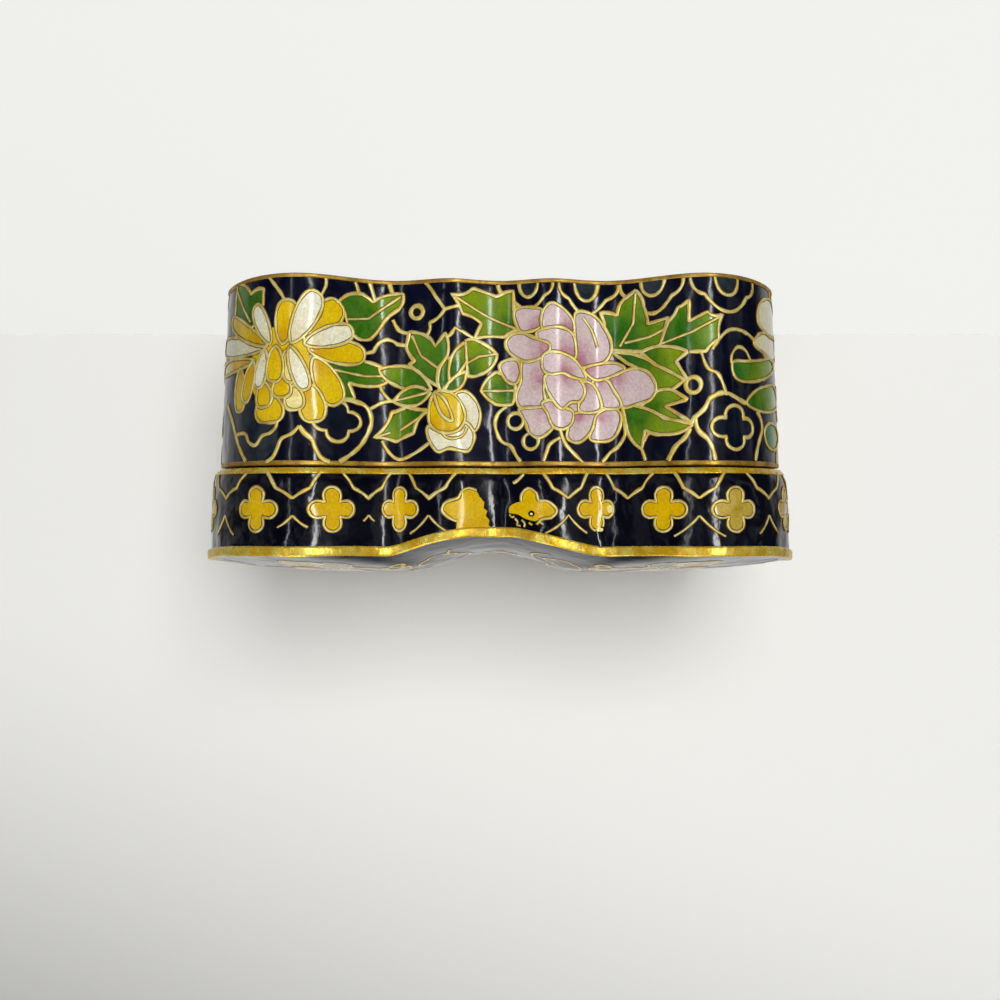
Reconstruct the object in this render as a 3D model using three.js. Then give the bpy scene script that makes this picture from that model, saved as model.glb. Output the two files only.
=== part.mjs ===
// A cloisonne enamel box with a lift-off lid: a butterfly-shaped cup of enamelled copper, gilt
// strips soldered round its edges, a brass collar inside the mouth, and a lid crowned in two wings.
// Millimetres, +Z up. The origin is at the middle of the foot, on the surface that the box stands on.
import * as THREE from "three";

// Plan outline of the body at its mouth: control points of a uniform cubic B-spline for the half
// with x >= 0, from the middle of the front round to the middle of the back.
const HALF_OUTLINE = [
  [0, -17.2], [6.1, -22.3], [12.8, -17.3], [18.6, -21.8], [24.3, -24.9], [30.4, -21.9],
  [35.3, -14.5], [37.4, -6.9], [35.3, 0.9], [31.8, 6.3], [33.8, 12.4], [31.1, 19.3],
  [23.8, 24.8], [17.7, 23.1], [12.1, 19.4], [6, 23.2], [0, 18.9],
];
const OUTLINE_STEPS = 112; // points round each ring

// Body
const BODY_HEIGHT = 22.95;
const WALL = 1.8; // copper with enamel on both sides
const FLOOR = 1.5;
const FLOOR_RECESS = 0.3; // the bottom plate sits this far above the foot's lower edge
const FOOT_INSET = -0.9; // the wall leans in by this much from mouth to foot
const FOOT_RIM_HEIGHT = 0.5;
const FOOT_RIM_WIDTH = 1.2;
const MOUTH_RIM_HEIGHT = 0.6;
const RIM_PROUD = 0.1; // a strip stands out of the wall by this much

// Collar that the lid slips over
const COLLAR_WALL = 0.8;
const COLLAR_DEPTH = 7; // below the mouth
const COLLAR_RISE = 3.2; // above the mouth

// Lid
const SEAM_GAP = 0.25;
const LID_CLEARANCE = 0.3; // between the collar and the lid's inside
const LID_MOUTH_PROUD = 0.35; // the lid's mouth strip stands out of the body's wall by this much
const LID_MOUTH_LEAN = 0.45; // and leans out by this much more
const LID_MOUTH_RIM_HEIGHT = 0.75;
const LID_SHOULDER_HEIGHT = 0.9; // over which the enamel rounds out from the mouth strip
const LID_OVERHANG = 0.95; // the lid's wall stands out of the body's by this much
const LID_FLARE = 0.35; // and leans out by this much more at its top
const LID_RIM_TOP = 33.75; // the edge at the front and back of the wings, above the surface
const LID_TOP_RIM_HEIGHT = 1.3;
const LID_TOP_RIM_PROUD = 0.6;
const LID_THICKNESS = 2;
const ARCH = 1.8; // how much higher the edge is at the two ends
const ARCH_REACH = 25; // from the middle to the front or back, where the arch has died away
const CROWN = 1.55; // further rise of the wings above their edge
const CROWN_POWER = 4; // how late the crown falls away towards the edge
const VALLEY_MIDDLE = 1.1; // the valley lies a little to one side
const VALLEY_DEPTH = [2.6, 2.35]; // in the middle of the lid and at its edge
const VALLEY_FLAT = [0, 2]; // half width of the valley's floor, at the same two places
const VALLEY_REACH = [11.5, 13.5]; // half width of the whole valley
const CROWN_RINGS = [1, 0.93, 0.83, 0.71, 0.58, 0.45, 0.33, 0.21, 0.1];
const CEILING_RINGS = [0.16, 0.33, 0.5, 0.75, 1];

const SEAM = BODY_HEIGHT + SEAM_GAP;
const LID_WALL_BOTTOM = SEAM + LID_MOUTH_RIM_HEIGHT;
const LID_TOP = LID_OVERHANG + LID_FLARE;
const LID_INSIDE = -WALL + LID_CLEARANCE;
const LID_STRIP_TOP = LID_MOUTH_PROUD + LID_MOUTH_LEAN;
const FOOT_INSIDE = FOOT_INSET - FOOT_RIM_WIDTH;

function smoothstep(from, to, value) {
  const t = THREE.MathUtils.clamp((value - from) / (to - from), 0, 1);
  return t * t * (3 - 2 * t);
}

// The whole control polygon, with the half outline mirrored across x = 0.
function controlPolygon() {
  const half = HALF_OUTLINE.map(([x, y]) => new THREE.Vector2(x, y));
  const mirrored = half.slice(1, -1).reverse().map((p) => new THREE.Vector2(-p.x, p.y));
  return [...half, ...mirrored];
}

// The closed cubic B-spline of the outline as a three.js curve, anticlockwise seen from above.
class WingOutline extends THREE.Curve {
  constructor(controls) {
    super();
    this.controls = controls;
    this.arcLengthDivisions = 1200;
  }

  getPoint(t, target = new THREE.Vector2()) {
    const count = this.controls.length;
    const at = (t % 1) * count;
    const first = Math.floor(at);
    const u = at - first;
    const weights = [
      (1 - u) ** 3,
      3 * u ** 3 - 6 * u ** 2 + 4,
      -3 * u ** 3 + 3 * u ** 2 + 3 * u + 1,
      u ** 3,
    ];
    target.set(0, 0);
    weights.forEach((weight, k) => {
      target.addScaledVector(this.controls[(first + k + count - 1) % count], weight / 6);
    });
    return target;
  }
}

const outline = new WingOutline(controlPolygon());
const stations = Array.from({ length: OUTLINE_STEPS }, (_, i) => {
  const share = i / OUTLINE_STEPS;
  const tangent = outline.getTangentAt(share);
  return { point: outline.getPointAt(share), outward: new THREE.Vector2(tangent.y, -tangent.x) };
});

// One ring of points: the outline moved outwards by offset, at a height that may depend on x and y.
function ring(offset, height) {
  return stations.map(({ point, outward }) => {
    const p = point.clone().addScaledVector(outward, offset);
    return new THREE.Vector3(p.x, p.y, typeof height === "function" ? height(p.x, p.y) : height);
  });
}

// Joins rings of equal length into a closed surface. An open loft is capped by a fan at each end.
function loft(rings, closedSection = false) {
  const count = OUTLINE_STEPS;
  const points = rings.flat();
  const faces = [];
  const bands = closedSection ? rings.length : rings.length - 1;
  for (let r = 0; r < bands; r += 1) {
    const here = r * count;
    const next = ((r + 1) % rings.length) * count;
    for (let i = 0; i < count; i += 1) {
      const j = (i + 1) % count;
      faces.push(here + i, here + j, next + j, here + i, next + j, next + i);
    }
  }
  if (!closedSection) {
    const middle = (one) => new THREE.Vector3(0, 0, one.reduce((sum, p) => sum + p.z, 0) / count);
    const last = (rings.length - 1) * count;
    points.push(middle(rings[0]), middle(rings[rings.length - 1]));
    for (let i = 0; i < count; i += 1) {
      const j = (i + 1) % count;
      faces.push(points.length - 2, j, i, points.length - 1, last + i, last + j);
    }
  }
  const geometry = new THREE.BufferGeometry().setFromPoints(points);
  geometry.setIndex(faces);
  geometry.computeVertexNormals();
  return geometry;
}

// A strip that follows the outline. Its outer face may lean outwards.
function strip(outer, inner, bottom, top, lean = 0) {
  return loft(
    [ring(outer, bottom), ring(outer + lean, top), ring(inner, top), ring(inner, bottom)],
    true,
  );
}

// Height of the crowned top, where share is 1 at the edge and 0 at the middle of the lid.
function crown(x, y, share) {
  const between = ([middle, edge]) => middle + (edge - middle) * share;
  const arch = ARCH * (0.5 + 0.5 * Math.cos((Math.PI * y) / ARCH_REACH));
  const rise = CROWN * (1 - share ** CROWN_POWER);
  const aside = Math.abs(x - VALLEY_MIDDLE);
  const valley = 1 - smoothstep(between(VALLEY_FLAT), between(VALLEY_REACH), aside);
  return LID_RIM_TOP + arch + rise - between(VALLEY_DEPTH) * valley;
}

function lidEdge(x, y) {
  return crown(x, y, 1);
}

function lidBand(x, y) {
  return lidEdge(x, y) - LID_TOP_RIM_HEIGHT;
}

// A ring of the outline shrunk towards the middle and laid on the crowned top.
function crownRing(offset, shrink, share, lowered) {
  return ring(offset, 0).map((p) => {
    const [x, y] = [p.x * shrink, p.y * shrink];
    return new THREE.Vector3(x, y, crown(x, y, share) - lowered);
  });
}

function bodyShell() {
  const floorTop = FLOOR_RECESS + FLOOR;
  return loft([
    ring(FOOT_INSIDE, FLOOR_RECESS),
    ring(FOOT_INSIDE, FOOT_RIM_HEIGHT),
    ring(FOOT_INSET, FOOT_RIM_HEIGHT),
    ring(0, BODY_HEIGHT - MOUTH_RIM_HEIGHT),
    ring(-WALL, BODY_HEIGHT - MOUTH_RIM_HEIGHT),
    ring(-WALL, floorTop),
  ]);
}

function lidShell() {
  const insideShare = 0.93; // where the inside outline lies on the crown
  const ceiling = CEILING_RINGS.map((t) => crownRing(LID_INSIDE, t, t * insideShare, LID_THICKNESS));
  const top = CROWN_RINGS.map((t) => crownRing(LID_TOP, t, t, 0));
  return loft([
    ...ceiling,
    ring(LID_INSIDE, LID_WALL_BOTTOM),
    ring(LID_STRIP_TOP, LID_WALL_BOTTOM),
    ring(LID_OVERHANG, LID_WALL_BOTTOM + LID_SHOULDER_HEIGHT),
    ring(LID_TOP, lidBand),
    ...top,
  ]);
}

function enamel(color) {
  return new THREE.MeshStandardMaterial({ color, roughness: 0.15, metalness: 0 });
}

function gilt() {
  return new THREE.MeshStandardMaterial({ color: 0xd9a92e, roughness: 0.25, metalness: 1 });
}

function piece(name, geometry, material) {
  const mesh = new THREE.Mesh(geometry, material);
  mesh.name = name;
  return mesh;
}

const box = new THREE.Group();
box.add(
  piece("body_shell", bodyShell(), enamel(0x0a0d2c)),
  piece("foot_rim", strip(FOOT_INSET + RIM_PROUD, FOOT_INSIDE, 0, FOOT_RIM_HEIGHT), gilt()),
  piece(
    "body_mouth_rim",
    strip(RIM_PROUD, -WALL, BODY_HEIGHT - MOUTH_RIM_HEIGHT, BODY_HEIGHT),
    gilt(),
  ),
  piece(
    "collar",
    strip(-WALL, -WALL - COLLAR_WALL, BODY_HEIGHT - COLLAR_DEPTH, BODY_HEIGHT + COLLAR_RISE),
    gilt(),
  ),
  piece(
    "lid_mouth_rim",
    strip(LID_MOUTH_PROUD, LID_INSIDE, SEAM, LID_WALL_BOTTOM, LID_MOUTH_LEAN),
    gilt(),
  ),
  piece("lid_shell", lidShell(), enamel(0x0a0d2c)),
  piece("lid_top_rim", strip(LID_TOP + LID_TOP_RIM_PROUD, LID_TOP, lidBand, lidEdge), gilt()),
);

export default box;
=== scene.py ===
import math
import random
from bisect import bisect_left
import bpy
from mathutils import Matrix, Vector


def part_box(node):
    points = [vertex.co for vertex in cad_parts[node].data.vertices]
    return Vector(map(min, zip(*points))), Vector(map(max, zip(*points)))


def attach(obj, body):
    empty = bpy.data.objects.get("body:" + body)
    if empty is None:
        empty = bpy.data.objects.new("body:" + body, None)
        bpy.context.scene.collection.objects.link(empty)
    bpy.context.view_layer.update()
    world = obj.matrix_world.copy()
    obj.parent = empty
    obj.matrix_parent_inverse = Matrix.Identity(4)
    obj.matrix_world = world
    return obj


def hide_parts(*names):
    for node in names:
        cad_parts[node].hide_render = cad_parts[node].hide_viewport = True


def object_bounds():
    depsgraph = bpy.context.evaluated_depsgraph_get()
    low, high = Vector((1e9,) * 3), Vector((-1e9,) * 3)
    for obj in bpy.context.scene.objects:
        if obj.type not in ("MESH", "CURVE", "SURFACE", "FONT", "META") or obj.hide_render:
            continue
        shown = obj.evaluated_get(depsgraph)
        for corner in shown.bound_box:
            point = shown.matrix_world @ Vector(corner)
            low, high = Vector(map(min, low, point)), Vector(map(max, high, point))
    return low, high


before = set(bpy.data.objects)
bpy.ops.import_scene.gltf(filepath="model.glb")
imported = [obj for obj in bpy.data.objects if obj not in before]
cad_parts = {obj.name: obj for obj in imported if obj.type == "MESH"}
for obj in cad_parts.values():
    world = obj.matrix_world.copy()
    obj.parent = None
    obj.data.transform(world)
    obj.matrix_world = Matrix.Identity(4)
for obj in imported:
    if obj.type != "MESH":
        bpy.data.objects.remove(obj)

from types import SimpleNamespace

import bmesh
import bpy
from mathutils import Matrix, Vector, noise

cad_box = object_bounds()

# Everything is worked out in millimetres and scaled to metres when a mesh is finished.
MM = 0.001

# ---------------------------------------------------------------- sizes

# Plan outline of the body at its mouth, as in the frame: control points of a uniform cubic B-spline
# for the half with x >= 0, from the middle of the front round to the middle of the back.
HALF_OUTLINE = (
    (0, -17.2), (6.1, -22.3), (12.8, -17.3), (18.6, -21.8), (24.3, -24.9), (30.4, -21.9),
    (35.3, -14.5), (37.4, -6.9), (35.3, 0.9), (31.8, 6.3), (33.8, 12.4), (31.1, 19.3),
    (23.8, 24.8), (17.7, 23.1), (12.1, 19.4), (6, 23.2), (0, 18.9),
)
SPLINE_STEPS = 40  # for each control point
STATION_GAP = 0.5  # between the stations that every piece on a wall is cut at
ROW_GAP = 0.7  # between rows up a wall


def node_z(node):
    """The lowest and highest points of a node, in millimetres."""
    low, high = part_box(node)
    return low[2] / MM, high[2] / MM


FOOT_RIM = node_z("foot_rim")
BODY_RIM = node_z("body_mouth_rim")
COLLAR = node_z("collar")
LID_RIM = node_z("lid_mouth_rim")

WALL = 1.8
FLOOR_BOTTOM = node_z("body_shell")[0]
FLOOR_TOP = FLOOR_BOTTOM + 1.5
FOOT_INSET = -0.9
FOOT_INNER = FOOT_INSET - 1.2
RIM_PROUD = 0.1
COLLAR_WALL = 0.8
LID_MOUTH_PROUD = 0.35
LID_MOUTH_LEAN = 0.45
LID_SHOULDER = 0.9
LID_OVERHANG = 0.95
LID_INSIDE = -WALL + 0.3
LID_RIM_TOP = 33.75
LID_RIM_HEIGHT = 1.3
LID_RIM_PROUD = 0.6
LID_THICKNESS = 2.0
LID_FACE = LID_OVERHANG + 0.35
ARCH = 1.8
ARCH_REACH = 25.0
CROWN = 1.55
CROWN_POWER = 4
CROWN_SINK = 0.17  # room for the wires under the frame's crown
VALLEY_MIDDLE = 1.1
VALLEY_DEPTH = (2.6, 2.35)  # in the middle of the lid and at its edge
VALLEY_FLAT = (0.0, 2.0)
VALLEY_REACH = (11.5, 13.5)

# Enamel and wires
LAYER = 0.007  # between a cell and a cell over it
SEAT_TOP = 0.08
WIRE_TOP = 0.14
CROWN_FLATNESS = 0.12  # the top of the lid is ground flatter than its walls
CROWN_BASE = 0.02  # under the lowest cell there
WIRE_STEP = 0.25
WIRE_OVERLAP = 0.2  # how far a wire runs on under the strip that it meets
WIRE_WAVE = 1.1
WIRE_UNEVENNESS = 0.4
WIRE = 0.4
PETAL_WIRE = 0.34
FINE_WIRE = 0.27
BROAD_WIRE = 0.54
SEAT_SPREAD = 0.15  # how much wider a seat is than its wire
SEAT_FOOT = -0.02
SEAT_LEAN = 0.96  # the share of a seat's width that its top has
CREST_FOOT = SEAT_TOP - 0.01
CREST_SHOULDER = (0.85, 0.8)  # shares of a wire's width and height
WELD = 1e-4  # points of one piece that are closer are joined
SAME_PLACE = 1e-6  # a path whose ends are closer is closed


def clamp(value, low=0.0, high=1.0):
    return max(low, min(high, value))


def mix(a, b, share):
    return a + (b - a) * share


def smoothstep(low, high, value):
    t = clamp((value - low) / (high - low))
    return t * t * (3 - 2 * t)


def level(limit, x, y):
    """A limit that may depend on the place."""
    return limit(x, y) if callable(limit) else limit


def ripple(point, size, depth):
    """A smooth hand-made unevenness: waves of about the given size and depth."""
    return depth * noise.noise(Vector(point) / size)


def distances(path):
    """How far along a path each of its points lies."""
    reached = [0.0]
    for here, after in zip(path, path[1:]):
        reached.append(reached[-1] + (after - here).length)
    return reached


# ---------------------------------------------------------------- the plan outline


def spline_points(controls):
    """Points along the closed cubic B-spline."""
    points = []
    for i in range(len(controls)):
        near = [controls[(i + k - 1) % len(controls)] for k in range(4)]
        for j in range(SPLINE_STEPS):
            u = j / SPLINE_STEPS
            weights = ((1 - u) ** 3, 3 * u**3 - 6 * u**2 + 4, -3 * u**3 + 3 * u**2 + 3 * u + 1, u**3)
            points.append(sum((p * w for p, w in zip(near, weights)), Vector((0, 0))) / 6)
    return points


class Plan:
    """The outline as evenly spaced stations. Between two stations it is straight, so that every
    piece laid on a wall lies on the same facets."""

    def __init__(self):
        half = [Vector(point) for point in HALF_OUTLINE]
        dense = spline_points(half + [Vector((-p.x, p.y)) for p in half[-2:0:-1]])
        reached = distances(dense + dense[:1])
        self.length = reached[-1]
        self.count = round(self.length / STATION_GAP)
        self.gap = self.length / self.count
        self.points = []
        self.outward = []
        at = 0
        for k in range(self.count):
            while reached[at + 1] <= k * self.gap:
                at += 1
            before, here, after, beyond = (dense[(at + j) % len(dense)] for j in (-1, 0, 1, 2))
            along = (after - here).normalized()
            tangent = (beyond - before).normalized()
            self.points.append(here + along * (k * self.gap - reached[at]))
            self.outward.append(Vector((tangent.y, -tangent.x)))

    def at(self, u):
        """The point and the outward direction at a distance u round the outline."""
        k, share = divmod(u / self.gap, 1)
        a, b = int(k) % self.count, (int(k) + 1) % self.count
        return self.points[a].lerp(self.points[b], share), self.outward[a].lerp(self.outward[b], share)

    def ring(self, offset):
        """The outline moved outwards, as one point for each station."""
        return [p + n * offset for p, n in zip(self.points, self.outward)]


plan = Plan()


def crown_height(x, y, share):
    """Height of the lid's top, where share is 1 at the edge and 0 in the middle."""
    arch = ARCH * (0.5 + 0.5 * math.cos(math.pi * y / ARCH_REACH))
    rise = CROWN * (1 - share**CROWN_POWER)
    flat, reach, depth = (mix(*pair, share) for pair in (VALLEY_FLAT, VALLEY_REACH, VALLEY_DEPTH))
    return LID_RIM_TOP + arch + rise - depth * (1 - smoothstep(flat, reach, abs(x - VALLEY_MIDDLE)))


def lid_edge(x, y):
    return crown_height(x, y, 1)


def lid_band(x, y):
    """Where the lid's wall meets the strip round its top."""
    return lid_edge(x, y) - LID_RIM_HEIGHT


# ---------------------------------------------------------------- surfaces that take an inlay


class StandingWall:
    """A wall's outer face: u runs round the outline and v is the height. Its profile is a list of
    (height, offset), and its limits say how high it starts and ends at a place."""

    cuts = (plan.gap, ROW_GAP)
    shifts = (0.0, -plan.length, plan.length)  # to the places that stand for the same one

    def __init__(self, profile, limits, wave, depth, layer):
        self.profile = profile
        self.limits = limits
        self.wave = wave
        self.depth = depth
        self.layer = layer

    def reach(self, u, v):
        for (low, start), (high, end) in zip(self.profile, self.profile[1:]):
            if v < high or high == self.profile[-1][0]:
                lean = mix(start, end, (v - low) / (high - low))
                break
        point, _ = plan.at(u)
        return lean + ripple((point.x, point.y, v * 1.3), self.wave, self.depth)

    def holds(self, u, v):
        point, _ = plan.at(u)
        low, high = self.limits
        return low - WIRE_OVERLAP < v < level(high, point.x, point.y) + WIRE_OVERLAP

    def place(self, u, v, lift=0.0):
        point, outward = plan.at(u)
        spot = point + outward * (self.reach(u, v) + lift)
        return Vector((spot.x, spot.y, v))

    def normal(self, u, v):
        step = 0.2
        around = (self.reach(u + step, v) - self.reach(u - step, v)) / (2 * step)
        upward = (self.reach(u, v + step) - self.reach(u, v - step)) / (2 * step)
        flat = plan.at(u)[1].normalized()
        tilted = flat - Vector((-flat.y, flat.x)) * around
        return Vector((tilted.x, tilted.y, -upward)).normalized()


class Crown:
    """The lid's domed top: u and v are x and y."""

    cuts = (0.6, 0.6)
    shifts = (0.0,)
    layer = LAYER
    EDGE = 0.985  # how far towards the rim it takes an inlay

    def __init__(self):
        rim = sorted(plan.ring(LID_FACE), key=lambda p: math.atan2(p.y, p.x))
        self.angles = [math.atan2(p.y, p.x) for p in rim]
        self.radii = [p.length for p in rim]

    def share(self, x, y):
        """0 at the middle of the lid, 1 on its edge."""
        angle = math.atan2(y, x)
        after = bisect_left(self.angles, angle) % len(self.angles)
        span = (self.angles[after] - self.angles[after - 1]) % math.tau
        part = ((angle - self.angles[after - 1]) % math.tau) / span
        return math.hypot(x, y) / mix(self.radii[after - 1], self.radii[after], part)

    def height(self, x, y):
        return crown_height(x, y, min(1.0, self.share(x, y))) - CROWN_SINK

    def holds(self, x, y):
        return self.share(x, y) < self.EDGE

    def place(self, x, y, lift=0.0):
        gap = self.cuts[0]
        i, a = divmod(x / gap, 1)
        j, b = divmod(y / gap, 1)
        rows = [[self.height((i + p) * gap, (j + q) * gap) for p in (0, 1)] for q in (0, 1)]
        low, high = (mix(*row, a) for row in rows)
        return Vector((x, y, mix(low, high, b) + CROWN_BASE + lift * CROWN_FLATNESS))

    def normal(self, x, y):
        step = 0.4
        slope_x = (self.height(x + step, y) - self.height(x - step, y)) / (2 * step)
        slope_y = (self.height(x, y + step) - self.height(x, y - step)) / (2 * step)
        return Vector((-slope_x, -slope_y, 1)).normalized()


BODY_FACE = StandingWall(
    ((FOOT_RIM[1], FOOT_INSET - 0.1), (FOOT_RIM[1] + 2, FOOT_INSET + 0.1), (BODY_RIM[0], 0.0)),
    (FOOT_RIM[1], BODY_RIM[0]), 4.6, 0.055, LAYER,
)
LID_WALL = StandingWall(
    (
        (LID_RIM[1], LID_MOUTH_PROUD + LID_MOUTH_LEAN - 0.1), (LID_RIM[1] + 0.45, LID_OVERHANG - 0.1),
        (LID_RIM[1] + LID_SHOULDER, LID_OVERHANG), (LID_RIM_TOP - LID_RIM_HEIGHT, LID_FACE),
    ),
    (LID_RIM[1], lid_band), 3.4, 0.13, 4 * LAYER,
)
CROWN_FACE = Crown()

# ---------------------------------------------------------------- drawing on a surface

BOW_STEP = 0.5
SOFT_STEP = 0.4
PETAL_STEPS = 13
QUATREFOIL_STEPS = 48
HOOP_STEPS = 14
PETAL_BASE, PETAL_TIP = 0.62, 0.36  # powers: near 1 makes a pointed end, near 0.45 a round one


def bowed(corners, closed=True):
    """A line through corners (u, v) or (u, v, bow). The stretch that leaves a corner bows to its
    left by that share of its length."""
    corners = [(*corner, 0.0)[:3] for corner in corners]
    line = []
    for (au, av, bow), (bu, bv, _) in zip(corners, corners[1:] + corners[:1] if closed else corners[1:]):
        a, along = Vector((au, av)), Vector((bu - au, bv - av))
        left = Vector((-along.y, along.x))
        steps = max(2, round(along.length / BOW_STEP)) if bow else 1
        for k in range(steps):
            t = k / steps
            line.append(a + along * t + left * (bow * 4 * t * (1 - t)))
    return line if closed else line + [Vector(corners[-1][:2])]


def smooth(corners, closed=True):
    """A soft line through corners (u, v)."""
    points = [Vector(corner) for corner in corners]
    last = len(points) - 1
    line = []
    for k in range(last + closed):
        near = [(k + j) % (last + 1) if closed else clamp(k + j, 0, last) for j in (-1, 0, 1, 2)]
        before, here, after, beyond = (points[j] for j in near)
        steps = max(2, round((after - here).length / SOFT_STEP))
        bend = 2 * before - 5 * here + 4 * after - beyond
        twist = 3 * here - before - 3 * after + beyond
        for j in range(steps):
            t = j / steps
            line.append((2 * here + (after - before) * t + bend * t**2 + twist * t**3) / 2)
    return line if closed else line + points[-1:]


def petal(root, tip, width):
    """A petal's outline, from its root up one side and down the other."""
    along = tip - root
    left = Vector((-along.y, along.x)).normalized()
    widest = PETAL_BASE / (PETAL_BASE + PETAL_TIP)
    fullest = widest**PETAL_BASE * (1 - widest) ** PETAL_TIP
    side = [(0.0, 0.0)]
    for k in range(1, PETAL_STEPS):
        t = (1 - math.cos(math.pi * k / PETAL_STEPS)) / 2
        side.append((t, width / 2 * t**PETAL_BASE * (1 - t) ** PETAL_TIP / fullest))
    side += [(1.0, 0.0)] + [(t, -half) for t, half in side[:0:-1]]
    return [root + along * t + left * half for t, half in side]


def quatrefoil(at, size, lobe, stretch=1.0):
    """Four round lobes that meet in corners."""
    out = size - lobe
    line = []
    for k in range(QUATREFOIL_STEPS):
        angle = math.tau * k / QUATREFOIL_STEPS
        off = (angle + math.pi / 4) % (math.pi / 2) - math.pi / 4
        radius = out * math.cos(off) + math.sqrt(max(0.0, lobe**2 - (out * math.sin(off)) ** 2))
        line.append(Vector((at[0] + radius * math.cos(angle), at[1] + stretch * radius * math.sin(angle))))
    return line


def oval(at, across, tall, steps=30):
    turns = [math.tau * k / steps for k in range(steps)]
    return [Vector((at[0] + across * math.cos(a), at[1] + tall * math.sin(a))) for a in turns]


def circle(at, radius):
    return oval(at, radius, radius, max(14, round(radius * 12)))


def hoop(at, half, drop):
    """A U that hangs from the foot's edge."""
    turns = [math.pi * k / HOOP_STEPS for k in range(HOOP_STEPS + 1)]
    return [Vector((at + half * math.cos(a), drop * math.sin(a) ** 0.8)) for a in turns]


def inside(point, outline):
    crossings = False
    before = outline[-1]
    for here in outline:
        if (here[1] > point[1]) != (before[1] > point[1]):
            share = (point[1] - here[1]) / (before[1] - here[1])
            if point[0] < here[0] + share * (before[0] - here[0]):
                crossings = not crossings
        before = here
    return crossings


def overlap(a, b):
    return any(inside(p, b) for p in a) or any(inside(p, a) for p in b)


def span(outline):
    us, vs = zip(*outline)
    return min(us), max(us), min(vs), max(vs)


def spans_meet(a, b):
    return a[0] < b[1] and b[0] < a[1] and a[2] < b[3] and b[2] < a[3]


def even_steps(path, step):
    """A path's points at even steps, with its ends kept."""
    reached = distances(path)
    count = max(2, round(reached[-1] / step))
    points = []
    at = 0
    for k in range(count):
        goal = reached[-1] * k / count
        while reached[at + 1] < goal:
            at += 1
        share = (goal - reached[at]) / max(1e-9, reached[at + 1] - reached[at])
        points.append(path[at].lerp(path[at + 1], share))
    return points + path[-1:]


# ---------------------------------------------------------------- meshes


def new_mesh_piece(name, bm, materials, replaces=()):
    """Makes a finished piece from a mesh in millimetres."""
    bmesh.ops.scale(bm, vec=(MM, MM, MM), verts=bm.verts)
    mesh = bpy.data.meshes.new(name)
    bm.to_mesh(mesh)
    bm.free()
    for material in materials:
        mesh.materials.append(material)
    mesh.polygons.foreach_set("use_smooth", [True] * len(mesh.polygons))
    facing = mesh.attributes.get("facing")
    if facing:
        directions = [Vector(item.vector) for item in facing.data]
        mesh.normals_split_custom_set_from_vertices(directions)
        mesh.attributes.remove(mesh.attributes["facing"])
    mesh.update()
    piece = bpy.data.objects.new(name, mesh)
    bpy.context.scene.collection.objects.link(piece)
    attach(piece, "root")
    if replaces:
        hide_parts(*replaces)


def bend_grid(bm, columns, rows, place):
    """A grid of columns by rows cells, with each corner moved to place(column, row)."""
    made = bmesh.ops.create_grid(bm, x_segments=columns, y_segments=rows, size=1)["verts"]
    for vert in made:
        column = round((vert.co.x + 1) / 2 * columns)
        row = round((vert.co.y + 1) / 2 * rows)
        vert.co = place(column, row)
    return made


def band_piece(name, rings, materials, replaces, creases=(), bands=None):
    """A piece lofted through rings that have one point for each station of the outline. Bands gives
    the number of a row's material."""
    bm = bmesh.new()
    made = bend_grid(bm, plan.count, len(rings) - 1, lambda column, row: rings[row][column % plan.count])
    row_of = {vert: index // (plan.count + 1) for index, vert in enumerate(made)}
    if bands:
        for face in bm.faces:
            face.material_index = bands(min(row_of[v] for v in face.verts))
    for edge in bm.edges:
        a, b = (row_of[v] for v in edge.verts)
        edge.smooth = a != b or a not in creases
    bmesh.ops.remove_doubles(bm, verts=bm.verts, dist=WELD)
    bmesh.ops.recalc_face_normals(bm, faces=bm.faces)
    new_mesh_piece(name, bm, materials, replaces)


# ---------------------------------------------------------------- inlays


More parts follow.
